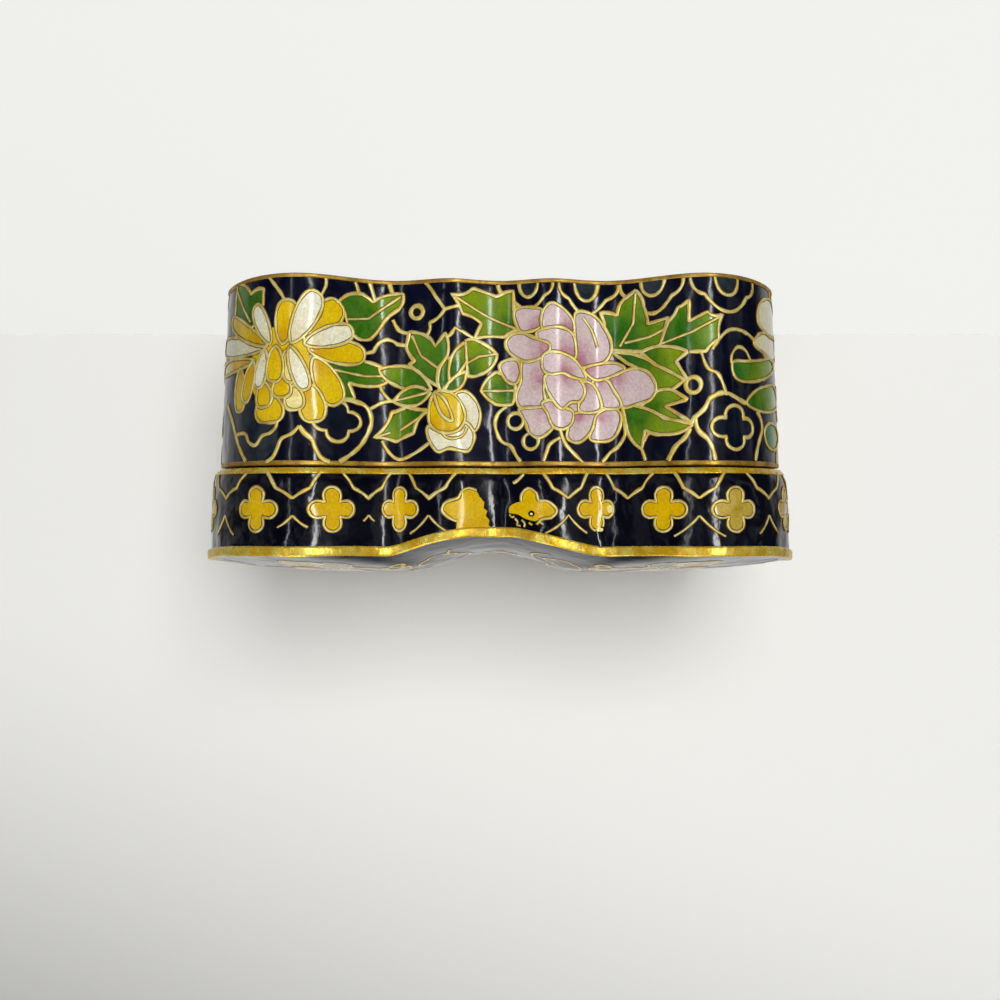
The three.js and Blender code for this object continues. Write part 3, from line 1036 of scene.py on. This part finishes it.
# The one on the other side: its left lobe is smeared, its lower lobe gone, and it has a deep pit.
PITTED_EDGE = (
    (1.3, 27.2), (1.3, 26.4), (0.4, 25.6), (-0.6, 26.3), (-0.7, 27.1), (-1.7, 27.2), (-2.6, 28.3),
    (-2.0, 29.2),
    (-1.2, 29.3),
)
PITTED_WORN = ((-0.4, 29.6), (0.8, 29.3), (1.7, 28.8), (3.0, 28.6), (2.8, 27.8), (2.0, 27.4))
PITTED_WIRE = (*PITTED_EDGE, (-0.6, 30.0))
SCRAPS = (
    ((2.9, 28.8), (2.5, 29.2), (2.2, 29.0)), ((2.1, 29.3), (1.7, 29.8), (1.9, 30.1), (1.3, 30.2)),
    ((1.2, 29.5), (0.8, 29.9), (0.9, 30.3)), ((0.3, 29.8), (-0.1, 30.1)), ((-0.9, 29.7), (-1.3, 30.0)),
)


def lid_wires(inlay, places):
    """The scrolled wires between the units, above and below."""
    for k, at in enumerate(places):
        after = places[k + 1] if k + 1 < len(places) else places[0] + plan.length
        halfway, reach = (at + after) / 2, (after - at) / 2
        if at == PITTED:
            scroll(inlay, beside(at, STUB), STUB_WIRE)
            continue
        upper = [(halfway + share * reach, height, UPPER_BOW) for share, height in UPPER_CORNERS]
        scroll(inlay, upper, UPPER_WIRE)
        arm = FRONT_ARMS[k] if k < len(FRONT_ARMS) else BACK_ARM
        if arm:
            foot = LOWER_TIP + ARM_SLOPE * arm
            lower = (
                (halfway - arm, foot, LOWER_BOW), (halfway, LOWER_TIP, LOWER_BOW), (halfway + arm, foot),
            )
            scroll(inlay, lower, THREAD_WIRE)


def lid_inlay():
    inlay = Inlay("lid", LID_WALL, 5)
    start, end = FRONT_UNITS[-1], FRONT_UNITS[0] + plan.length
    places = [*FRONT_UNITS, *(mix(start, end, (k + 1) / (BACK_UNITS + 1)) for k in range(BACK_UNITS))]
    lid_wires(inlay, places)
    for at in places:
        if at == SMEARED:
            inlay.cell(smooth(beside(at, SMEARED_EDGE), closed=False), "lid_yellow", wire=0)
            scroll(inlay, beside(at, SMEARED_WIRE), UNIT_WIRE)
        elif at == PITTED:
            inlay.cell(smooth(beside(at, PITTED_EDGE + PITTED_WORN)), "lid_yellow", wire=0)
            scroll(inlay, beside(at, PITTED_WIRE), UNIT_WIRE)
            inlay.cell(circle((at, 28.7), 0.38), "brown", wire=0)
            inlay.cell(circle((at, 28.75), 0.16), "gold", wire=0)
            for scrap in SCRAPS:
                scroll(inlay, beside(at, scrap), THREAD_WIRE)
        else:
            inlay.cell(quatrefoil((at, UNIT_MIDDLE), 2.66, 1.04), "brown", wire=UNIT_WIRE)
            # Those two units take the duller yellow, a painted reflection.
            family = "painted_reflection_yellow" if at in UNITS_WITH_PAINTED_REFLECTION else "lid_yellow"
            inlay.cell(quatrefoil((at, UNIT_MIDDLE), 2.42, 0.82), family, wire=0)
        if at == BLISTERED:
            inlay.cell(circle((at - 2.1, UNIT_MIDDLE), 0.5), "gold", wire=0)
            inlay.cell(oval((at - 0.4, UNIT_MIDDLE + 2.5), 0.55, 0.25), "gold", wire=0)
    return inlay


# On the lid's top, for x > 0; the other side has the same at -x.
CROWN_SCROLLS = (
    ((6.2, 17.4, 0.2), (4.4, 12.0, -0.2), (5.8, 6.0, 0.2), (3.0, 1.0)),
    ((6.2, -16.4, -0.2), (4.4, -11.0, 0.2), (5.8, -5.4, -0.2), (3.0, -1.0)),
    ((35.6, -12.0, 0.2), (32.6, -8.2, 0.2), (35.6, -5.0)),
    ((33.6, 8.0, 0.3), (30.4, 7.6, 0.3), (32.6, 15.0)),
)
CROWN_CLOUDS = ((33.0, -3.0), (8.6, 12.6), (8.0, -12.4), (30.6, 12.4))
CROWN_RINGS = ((12.6, 1.2), (33.0, 4.6), (13.0, -15.4))


def crown_inlay():
    """The top of the lid: a flower on each wing among leaves, with scrolls in the valley."""
    inlay = Inlay("crown", CROWN_FACE, 8)
    for side in (1, -1):
        for path in CROWN_SCROLLS:
            scroll(inlay, [(side * corner[0], *corner[1:]) for corner in path])
        for x, y in CROWN_CLOUDS:
            cloud(inlay, (side * x, y), 2.4, 1.2)
        for x, y in CROWN_RINGS:
            inlay.cell(circle((side * x, y), 0.9), "brown", wire=BROAD_WIRE)
    cloud(inlay, (0, 0), 3.0, 1.5)
    for at in ((0, 8.0), (0, -8.0)):
        cloud(inlay, at, 2.0, 1.0)
    for group, x, y, degrees, size in (
        (PEONY_LEAVES, 20.6, -3.6, 75, 0.82), (MUM_LEAVES, 20.0, 1.0, -60, 0.8),
    ):
        for side in (1, -1):
            leaves(inlay, group, (side * x, y), side, side * degrees, size)
    for side in (1, -1):
        place = ((side * 21.0, -3.2), side, side * 20, 1.05)
        heart(inlay, "pink", (0.4, 0.4), 6.4, 6.6, *place)
        blossom(inlay, PEONY, PEONY_LINES, *place)
    for side in (1, -1):
        blossom(inlay, BUD, BUD_LINES, (side * 20.0, 15.8), side, 180, 0.9)
        blossom(inlay, BUD, BUD_LINES, (side * 25.0, -17.4), side, 0.0, 0.85)
    return inlay


# ---------------------------------------------------------------- shader groups and materials


def screen_colour(red, green, blue):
    """A colour given as it looks on a screen, 0 to 255."""
    shares = (red / 255, green / 255, blue / 255)
    return (*(c / 12.92 if c <= 10 / 255 else ((c + 0.055) / 1.055) ** 2.4 for c in shares), 1.0)


def add(tree, kind, settings=None, **values):
    """A node with its properties and its inputs' values or links. Three numbers are a screen colour."""
    made = tree.nodes.new(kind)
    for key, value in (settings or {}).items():
        setattr(made, key, value)
    for key, value in values.items():
        socket = made.inputs[int(key[1:])] if key[1:].isdigit() else made.inputs[key.replace("_", " ")]
        if isinstance(value, bpy.types.NodeSocket):
            tree.links.new(value, socket)
        else:
            is_colour = isinstance(value, tuple) and len(value) == 3
            socket.default_value = screen_colour(*value) if is_colour else value
    return made


def object_place(tree):
    return add(tree, "ShaderNodeTexCoord").outputs["Object"]


def ramp(tree, value, low, high, out_low=0.0, out_high=1.0):
    made = add(
        tree, "ShaderNodeMapRange", {"interpolation_type": "SMOOTHSTEP"},
        Value=value, From_Min=low, From_Max=high, To_Min=out_low, To_Max=out_high,
    )
    return made.outputs["Result"]


def blend(tree, share, a, b, mode="MIX"):
    made = add(tree, "ShaderNodeMix", {"data_type": "RGBA", "blend_type": mode}, i0=share, i6=a, i7=b)
    return made.outputs[2]


def noise_at(tree, where, scale, detail=2.0, roughness=0.5, distortion=0.0):
    values = {"Scale": scale, "Detail": detail, "Roughness": roughness, "Distortion": distortion}
    return add(tree, "ShaderNodeTexNoise", Vector=where, **values).outputs["Fac"]


def worked_out(tree, operation, a, b):
    return add(tree, "ShaderNodeMath", {"operation": operation}, i0=a, i1=b).outputs[0]


def scaled(tree, value, factor):
    return worked_out(tree, "MULTIPLY", value, factor)


def summed(tree, a, b):
    return worked_out(tree, "ADD", a, b)


def attribute(tree, name):
    return add(tree, "ShaderNodeAttribute", {"attribute_name": name}).outputs["Fac"]


def new_group(name, colours, numbers):
    """An effect with these inputs. It gives a colour, a roughness and a height."""
    group = bpy.data.node_groups.new(name, "ShaderNodeTree")
    for title in colours:
        group.interface.new_socket(title, in_out="INPUT", socket_type="NodeSocketColor")
    for title, value in numbers.items():
        socket = group.interface.new_socket(title, in_out="INPUT", socket_type="NodeSocketFloat")
        socket.default_value = value
    for title, kind in (("Colour", "Color"), ("Roughness", "Float"), ("Height", "Float")):
        group.interface.new_socket(title, in_out="OUTPUT", socket_type="NodeSocket" + kind)
    return group, group.nodes.new("NodeGroupInput").outputs, group.nodes.new("NodeGroupOutput").inputs


def enamel_group():
    """Fused enamel: cloudy colour, dark pinholes, and a skin that is never quite flat."""
    amounts = {"Clouding": 0.5, "Pitting": 0.5, "Waviness": 1.0}
    group, given, out = new_group("fused_enamel", ("Colour", "Cloud Colour", "Pit Colour"), amounts)
    where = object_place(group)
    clouds = ramp(group, noise_at(group, where, 330, 4, 0.6, 0.6), 0.38, 0.68)
    clouds = scaled(group, clouds, given["Clouding"])
    colour = blend(group, clouds, given["Colour"], given["Cloud Colour"])
    grain = ramp(group, noise_at(group, where, 3200, 2, 0.7), 0.3, 0.75, 0.86, 1.12)
    colour = blend(group, 1.0, colour, grain, "MULTIPLY")
    cells = add(group, "ShaderNodeTexVoronoi", Vector=where, Scale=1250.0)
    pits = ramp(group, cells.outputs["Distance"], 0.10, 0.2, 1.0, 0.0)
    patches = ramp(group, noise_at(group, where, 420, 2), 0.52, 0.62)
    pits = scaled(group, scaled(group, pits, patches), given["Pitting"])
    group.links.new(blend(group, pits, colour, given["Pit Colour"]), out["Colour"])
    smear = ramp(group, noise_at(group, where, 240, 3), 0.35, 0.8, 0.11, 0.25)
    group.links.new(summed(group, smear, scaled(group, pits, 0.3)), out["Roughness"])
    swell = noise_at(group, where, 210, 1.5)
    lumps = scaled(group, noise_at(group, where, 520, 1), 0.3)
    orange_peel = scaled(group, noise_at(group, where, 900, 2), 0.1)
    relief = summed(group, summed(group, swell, lumps), orange_peel)
    waves = scaled(group, relief, given["Waviness"])
    group.links.new(summed(group, waves, scaled(group, pits, -0.08)), out["Height"])
    return group


def gilding_group():
    """Gilding: pale patches at random that are painted highlights, brown stains that are partly tarnish and
    partly painted shade, pits and fine rubbing.
    """
    amounts = {"Browning": 0.5, "Roughness": 0.35, "Hammering": 1.0}
    group, given, out = new_group("worn_gilding_with_painted_light", ("Gold", "Pale", "Brown"), amounts)
    where = object_place(group)
    # Painted highlights: the pale colour in patches at random.
    painted_highlights = ramp(group, noise_at(group, where, 500, 3, 0.6), 0.35, 0.7)
    colour = blend(group, painted_highlights, given["Gold"], given["Pale"])
    # The brown stains are partly tarnish and partly painted shade; the specks are pits.
    stains_and_painted_shade = ramp(group, noise_at(group, where, 260, 5, 0.7, 1.0), 0.5, 0.72)
    specks = ramp(group, noise_at(group, where, 2300, 3, 0.7), 0.58, 0.72)
    tarnish_and_painted_shade = scaled(group, worked_out(group, "MAXIMUM", stains_and_painted_shade, specks), given["Browning"])
    group.links.new(blend(group, tarnish_and_painted_shade, colour, given["Brown"]), out["Colour"])
    rough = summed(group, given["Roughness"], scaled(group, tarnish_and_painted_shade, 0.25))
    rough = summed(group, rough, scaled(group, noise_at(group, where, 1500, 2), 0.1))
    group.links.new(rough, out["Roughness"])
    dents = noise_at(group, where, 330, 2)
    scuffs = scaled(group, noise_at(group, where, 2300, 3, 0.7), 0.16)
    group.links.new(scaled(group, summed(group, dents, scuffs), given["Hammering"]), out["Height"])
    return group


ENAMEL = enamel_group()
GILDING = gilding_group()
ENAMEL_RELIEF = 0.0001
GILDING_RELIEF = 0.00006
LIGHTER_FROM, LIGHTER_TO = 1.2, 1.95  # of a cell's tone and a place's reach together


def coated(name, group, relief, metal=0.0, **values):
    """A material that wears one of the effects. A value may be a function that makes nodes for it."""
    material = bpy.data.materials.new(name)
    material.use_nodes = True
    tree = material.node_tree
    shader = tree.nodes["Principled BSDF"]
    shader.inputs["Metallic"].default_value = metal
    values = {key: value(tree) if callable(value) else value for key, value in values.items()}
    effect = add(tree, "ShaderNodeGroup", {"node_tree": group}, **values)
    bump = add(tree, "ShaderNodeBump", Height=effect.outputs["Height"], Strength=1.0, Distance=relief)
    tree.links.new(effect.outputs["Colour"], shader.inputs["Base Color"])
    tree.links.new(effect.outputs["Roughness"], shader.inputs["Roughness"])
    tree.links.new(bump.outputs["Normal"], shader.inputs["Normal"])
    return material


def plain_enamel(name, colour, cloud, pit, clouding, pitting=0.5, waviness=1.0):
    amounts = {"Clouding": clouding, "Pitting": pitting, "Waviness": waviness}
    return coated(name, ENAMEL, ENAMEL_RELIEF, Colour=colour, Cloud_Colour=cloud, Pit_Colour=pit, **amounts)


def cell_enamel(
    name, root, tip, cloud, pit, clouding=0.5, pitting=0.6, waviness=1.0, light=None, turn=(0.05, 0.7)
):
    """Enamel for cells: root colour to tip colour along each cell, and some cells lighter."""

    def colour(tree):
        wander = noise_at(tree, object_place(tree), 600, 2)
        reach = summed(tree, attribute(tree, "reach"), scaled(tree, wander, 0.5))
        shade = blend(tree, ramp(tree, reach, turn[0] + 0.25, turn[1] + 0.25), root, tip)
        if light:
            picked = ramp(tree, summed(tree, attribute(tree, "tone"), reach), LIGHTER_FROM, LIGHTER_TO)
            shade = blend(tree, picked, shade, light)
        return shade

    return plain_enamel(name, colour, cloud, pit, clouding, pitting, waviness)


def gilding(name, gold, pale, brown, browning, roughness, hammering, metal, relief=GILDING_RELIEF):
    colours = {"Gold": gold, "Pale": pale, "Brown": brown}
    amounts = {"Browning": browning, "Roughness": roughness, "Hammering": hammering}
    return coated(name, GILDING, relief, metal, **colours, **amounts)


NIGHT = plain_enamel("night_enamel", (4, 5, 24), (14, 18, 40), (4, 4, 12), 0.75, 0.3, 1.8)
LID_NIGHT = plain_enamel("lid_night_enamel", (2, 3, 13), (7, 10, 26), (3, 3, 8), 0.6, 0.3, 3.0)
INNER = plain_enamel("inner_enamel", (24, 70, 130), (40, 100, 150), (10, 20, 50), 0.6)
# Root, tip, cloud and pit colours, then how cloudy, pitted and wavy it is, the colour of its lighter
# cells, and where along a cell its root colour turns into the other one.
CELL_ENAMELS = {
    "slate": ((20, 26, 38), (30, 38, 46), (52, 62, 68), (5, 5, 12), 0.7, 0.4),
    "dusk": ((3, 6, 22), (6, 13, 30), (22, 30, 44), (3, 3, 9), 0.6, 0.4),
    "brown": ((44, 26, 16), (40, 24, 16), (20, 12, 10), (5, 5, 5)),
    "yellow": ((218, 162, 8), (234, 194, 4), (240, 208, 30), (150, 96, 10), 0.5, 0.35),
    "gold": ((226, 190, 60), (248, 230, 132), (252, 242, 180), (150, 110, 30), 0.6, 0.4),
    "white": ((238, 224, 176), (250, 246, 218), (242, 234, 196), (170, 140, 90), 0.5, 0.5),
    "pink": (
        (178, 106, 124), (218, 194, 193), (226, 208, 202),
        (150, 120, 104), 0.5, 0.3, 1.0, None, (0.0, 0.62),
    ),
    "green": (
        (38, 100, 14), (84, 134, 14), (100, 140, 40), (30, 50, 10), 0.5, 0.5, 1.0,
        (140, 162, 14), (0.25, 0.95),
    ),
    # A duller yellow for two lid units: a painted reflection of grey.
    "painted_reflection_yellow": ((176, 146, 44), (188, 158, 54), (208, 184, 96), (90, 70, 30), 0.6, 0.4),
    "lid_yellow": ((230, 186, 0), (222, 176, 0), (238, 202, 16), (130, 80, 10), 0.5, 0.4, 2.0),
}
CELLS = {}
for family, looks in CELL_ENAMELS.items():
    title = "pale_gold" if family == "gold" else family
    CELLS[family] = cell_enamel(f"{title}_enamel", *looks)
# Gold, pale and brown colours, then how browned, rough, hammered and metallic it is. The pale colour is
# painted highlight; the brown is partly tarnish and partly painted shade.
WIRE_GOLD = gilding("wire_gilding", (236, 208, 104), (255, 246, 168), (144, 112, 48), 0.5, 0.34, 1.6, 0.42)
CROWN_GOLD = gilding(
    "polished_wire_gilding", (216, 178, 84), (240, 212, 120), (120, 92, 50), 0.4, 0.1, 0.5, 0.4
)
SEAT_BROWN = gilding("wire_seat_tarnish", (104, 72, 24), (140, 104, 40), (44, 28, 12), 0.6, 0.5, 0.6, 0.3)
RIM_GOLD = gilding("rim_gilding", (240, 188, 34), (255, 236, 108), (134, 80, 10), 0.5, 0.22, 3.0, 0.5, 0.0001)
# The collar is painted dark brown as painted shade, so that the seam between the lid and the body looks dark.
PAINTED_SHADE_GOLD = gilding("collar_painted_shade", (70, 50, 22), (96, 70, 30), (30, 20, 8), 0.7, 0.5, 1.0, 0.5)
OLD_GOLD = gilding("worn_rim_gilding", (186, 142, 54), (226, 188, 84), (104, 66, 20), 0.75, 0.34, 1.8, 0.6)

# ---------------------------------------------------------------- shells and strips


def flat_ring(offset, height, shrink=1.0):
    return [Vector((p.x * shrink, p.y * shrink, height)) for p in plan.ring(offset)]


def face_rings(surface):
    """Rings up a wall's outer face, at the heights where the cells on it are cut too. Where the
    wall is lower, they end together at its top."""
    low, high = surface.limits
    tops = [level(high, p.x, p.y) for p in plan.points]
    rows = range(math.floor(low / ROW_GAP) + 1, math.ceil(max(tops) / ROW_GAP) + 1)
    heights = [low, *(k * ROW_GAP for k in rows)]
    return [
        [surface.place(k * plan.gap, min(height, top)) for k, top in enumerate(tops)] for height in heights
    ]


def crown_ring(offset, shrink, share, lowered):
    """A ring of the outline shrunk towards the middle and laid on the lid's top."""
    flat = ((p.x * shrink, p.y * shrink) for p in plan.ring(offset))
    return [Vector((x, y, crown_height(x, y, share) - lowered)) for x, y in flat]


def body_shell():
    corner_offset = -WALL - 0.8
    rings = [flat_ring(FOOT_INNER, FLOOR_BOTTOM, t) for t in (0.0, 0.3, 0.6, 0.9, 1.0)]
    rings.append(flat_ring(FOOT_INNER, FOOT_RIM[1]))
    outer_from = len(rings)
    rings += face_rings(BODY_FACE)
    outer_to = len(rings) - 1
    rings += [flat_ring(-WALL, height) for height in (BODY_RIM[0], 15.0, 8.0, FLOOR_TOP + 0.8)]
    rings.append(flat_ring(-WALL - 0.25, FLOOR_TOP + 0.2))
    rings += [flat_ring(corner_offset, FLOOR_TOP, t) for t in (1.0, 0.85, 0.6, 0.3, 0.0)]
    band_piece(
        "body_ground", rings, [NIGHT, INNER], ("body_shell",),
        creases=(4, 5, outer_from, outer_to, outer_to + 1),
        bands=lambda row: 0 if outer_from - 1 <= row < outer_to + 1 else 1,
    )


def lid_shell():
    inside_share = 0.93
    crown_steps = 56
    rings = []
    for t in (0.0, 0.1, 0.2, 0.3, 0.4, 0.5, 0.6, 0.7, 0.8, 0.9, 0.97, 1.0):
        rings.append(crown_ring(LID_INSIDE, t, t * inside_share, LID_THICKNESS))
    ceiling_edge = len(rings) - 1
    rings.append(flat_ring(LID_INSIDE, LID_RIM[1]))
    outer_from = len(rings)
    rings += face_rings(LID_WALL)
    outer_to = len(rings) - 1
    for k in range(crown_steps + 1):
        share = 1 - k / crown_steps
        rings.append(crown_ring(LID_FACE, share, share, CROWN_SINK))
    band_piece(
        "lid_ground", rings, [LID_NIGHT, INNER, NIGHT], ("lid_shell",),
        creases=(ceiling_edge, outer_from - 1, outer_from, outer_to, outer_to + 1),
        bands=lambda row: 1 if row < outer_from - 1 else (0 if row < outer_to else 2),
    )


def strip_rings(outer, inner, low, high, round_off, uneven, seed=0.0, lean=0.0):
    """A strip of rounded section along the outline. low and high may depend on the place, and the
    outer face may lean outwards."""
    rings = []
    for is_outer, is_top, start in ((1, 0, -90), (1, 1, 0), (0, 1, 90), (0, 0, 180)):
        for k in range(4):
            angle = math.radians(start + 30 * k)
            side = outer + lean * is_top - round_off if is_outer else inner + round_off
            ring = []
            for p, outward in zip(plan.points, plan.outward):
                height = level(high, p.x, p.y) - round_off if is_top else level(low, p.x, p.y) + round_off
                bump = ripple((p.x + seed, p.y, height * 2), 2.2, uneven) if is_outer else 0.0
                spot = p + outward * (side + math.cos(angle) * round_off + bump - uneven * is_outer)
                lift = ripple((p.x - seed, p.y, is_top * 9), 3.4, uneven) - uneven if is_top else 0.0
                ring.append(Vector((spot.x, spot.y, height + math.sin(angle) * round_off + lift)))
            rings.append(ring)
    return rings


def strips():
    """A strip's section is its outer and inner offsets, its foot and top, how round and uneven it is,
    and for some a seed and a lean."""
    lid_mouth = (LID_MOUTH_PROUD, LID_INSIDE, *LID_RIM, 0.12, 0.03, 13.0, LID_MOUTH_LEAN)
    lid_top = (LID_FACE + LID_RIM_PROUD - 0.06, LID_FACE - 0.3, lid_band, lid_edge, 0.24, 0.07, 21.0)
    for name, node, paint, section in (
        ("foot_strip", "foot_rim", OLD_GOLD, (FOOT_INSET + RIM_PROUD, FOOT_INNER, *FOOT_RIM, 0.14, 0.02)),
        ("body_mouth_strip", "body_mouth_rim", OLD_GOLD, (RIM_PROUD, -WALL, *BODY_RIM, 0.12, 0.02, 7.0)),
        ("collar_band", "collar", PAINTED_SHADE_GOLD, (-WALL, -WALL - COLLAR_WALL, *COLLAR, 0.25, 0.0)),
        ("lid_mouth_strip", "lid_mouth_rim", RIM_GOLD, lid_mouth),
        ("lid_top_strip", "lid_top_rim", RIM_GOLD, lid_top),
    ):
        rings = strip_rings(*section)
        band_piece(name, rings + rings[:1], [paint], (node,))


# ---------------------------------------------------------------- stage, lights and camera

FRONT, BACK = cad_box[0][1], cad_box[1][1]
STAGE_REACH = 1.6
TABLE_LOW, TABLE_HIGH = -0.4, 1.2
TABLE_GAP = 0.0006  # behind the box
STAGE_GLOW = (1.0, 1.0, 0.975, 1)
MIDDLE = (0.0, 0.0, 0.018)
WINDOW_DISTANCE = 0.62
EYE_HEIGHT = 0.02706
EYE_DISTANCE = 0.130


def stage_material(name, glow, even_glow, diffuse, painted_shade_side, painted_shade_corner):
    """Pale stage paint that is see-through from behind, so that it never hides the box. It has painted shade:
    its colour and its glow darken towards one side and one corner."""
    material = bpy.data.materials.new(name)
    material.use_nodes = True
    tree = material.node_tree
    tree.nodes.clear()
    apart = add(tree, "ShaderNodeSeparateXYZ", Vector=object_place(tree)).outputs
    # Painted shade: darker towards one side and one corner, as light that falls off.
    side = ramp(tree, apart["X"], -0.04, 0.10, 1.0, 1.0 - painted_shade_side)
    low_corner = summed(tree, scaled(tree, apart["X"], 0.3), apart["Z"])
    corner = ramp(tree, low_corner, 0.06, 0.2, 1.0, 1.0 - painted_shade_corner)
    painted_falloff = scaled(tree, side, corner)
    strength = summed(tree, scaled(tree, painted_falloff, glow), even_glow)
    lit = add(tree, "ShaderNodeBsdfDiffuse", Color=blend(tree, 1.0, diffuse, painted_falloff, "MULTIPLY"))
    glowing = add(tree, "ShaderNodeEmission", Color=STAGE_GLOW, Strength=strength)
    both = add(tree, "ShaderNodeAddShader", i0=lit.outputs[0], i1=glowing.outputs[0])
    clear = add(tree, "ShaderNodeBsdfTransparent")
    behind = add(tree, "ShaderNodeNewGeometry").outputs["Backfacing"]
    shown = add(tree, "ShaderNodeMixShader", i0=behind, i1=both.outputs[0], i2=clear.outputs[0])
    add(tree, "ShaderNodeOutputMaterial", Surface=shown.outputs[0])
    return material


def stage_plane(name, corners, material):
    bm = bmesh.new()
    bm.faces.new([bm.verts.new(corner) for corner in corners])
    mesh = bpy.data.meshes.new(name)
    bm.to_mesh(mesh)
    bm.free()
    mesh.materials.append(material)
    plane = bpy.data.objects.new(name, mesh)
    bpy.context.scene.collection.objects.link(plane)
    plane.visible_diffuse = False
    plane.visible_glossy = False
    plane.visible_shadow = False


def stage():
    wide, y = STAGE_REACH, BACK + TABLE_GAP
    # The table has painted shade towards one corner. The floor is lit mostly by its own glow, which is
    # painted light, and has painted shade towards one side.
    stage_plane(
        "pale_table",
        ((-wide, y, TABLE_LOW), (wide, y, TABLE_LOW), (wide, y, TABLE_HIGH), (-wide, y, TABLE_HIGH)),
        stage_material("table_paint", 0.05, 0.0, (0.95, 0.945, 0.905, 1), 0.0, 0.75),
    )
    stage_plane(
        "pale_floor", ((-wide, -wide, 0), (wide, -wide, 0), (wide, wide, 0), (-wide, wide, 0)),
        stage_material("floor_paint", 0.39, 0.47, (0.05, 0.05, 0.05, 1), 0.11, 0.0),
    )


def area_light(name, place, width, height, power, diffuse=True, glossy=True):
    """A lamp that faces the box."""
    data = bpy.data.lights.new(name, "AREA")
    data.shape = "RECTANGLE"
    data.size = width
    data.size_y = height
    data.energy = power
    light = bpy.data.objects.new(name, data)
    light.location = place
    light.rotation_euler = (Vector(MIDDLE) - Vector(place)).to_track_quat("-Z", "Y").to_euler()
    light.visible_camera = False
    light.visible_diffuse = diffuse
    light.visible_glossy = glossy
    bpy.context.scene.collection.objects.link(light)


def lights():
    area_light("key", (-0.10, -0.62, -0.12), 0.36, 0.36, 3.1, glossy=False)
    area_light("top", (0.15, -0.25, 0.8), 0.6, 0.5, 3.3)
    for turn, width, power in ((26, 0.045, 1.3), (-22, 0.02, 0.25)):
        angle = math.radians(turn)
        place = (-WINDOW_DISTANCE * math.sin(angle), -WINDOW_DISTANCE * math.cos(angle), 0.03)
        area_light(f"window_{turn}", place, width, 0.55, power, diffuse=False)


def studio_world():
    """A dim, patchy room for the box to mirror, pale on its far side. The camera sees plain paper."""
    world = bpy.data.worlds.new("studio")
    world.use_nodes = True
    tree = world.node_tree
    tree.nodes.clear()
    where = add(tree, "ShaderNodeTexCoord").outputs["Generated"]
    y = add(tree, "ShaderNodeSeparateXYZ", Vector=where).outputs["Y"]
    share = ramp(tree, y, 0.45, 0.92)
    patches = ramp(tree, noise_at(tree, where, 4.0, 2.0), 0.46, 0.68)
    room = blend(tree, patches, (0.02, 0.02, 0.025, 1), (0.33, 0.33, 0.35, 1))
    colour = blend(tree, share, room, (0.7, 0.7, 0.68, 1))
    seen = add(tree, "ShaderNodeLightPath").outputs["Is Camera Ray"]
    colour = blend(tree, seen, colour, (0.84, 0.84, 0.82, 1))
    background = add(tree, "ShaderNodeBackground", Color=colour, Strength=1.0)
    add(tree, "ShaderNodeOutputWorld", Surface=background.outputs[0])
    bpy.context.scene.world = world


def camera():
    """Level with the front, and turned upside down as for a box that lies on its back wall."""
    data = bpy.data.cameras.new("camera")
    data.lens = 39.6
    data.sensor_width = 36.0
    data.clip_start = 0.005
    eye = bpy.data.objects.new("camera", data)
    box_front = (FRONT / MM + LID_FACE + LID_RIM_PROUD) * MM
    place = Vector((0.0, box_front - EYE_DISTANCE, EYE_HEIGHT))
    right, up = Vector((-1, 0, 0)), Vector((0, 0, -1))
    turn = Matrix((right, up, right.cross(up))).transposed()
    eye.matrix_world = Matrix.Translation(place) @ turn.to_4x4()
    bpy.context.scene.collection.objects.link(eye)
    bpy.context.scene.camera = eye


# ---------------------------------------------------------------- the whole scene

camera()
stage()
lights()
studio_world()
body_shell()
lid_shell()
strips()
for inlay, wire_paint in ((body_inlay(), WIRE_GOLD), (lid_inlay(), WIRE_GOLD), (crown_inlay(), CROWN_GOLD)):
    for family, paint in CELLS.items():
        inlay.cells_piece(family, paint)
    inlay.wires_pieces(wire_paint)
bpy.context.scene.view_settings.view_transform = "Standard"
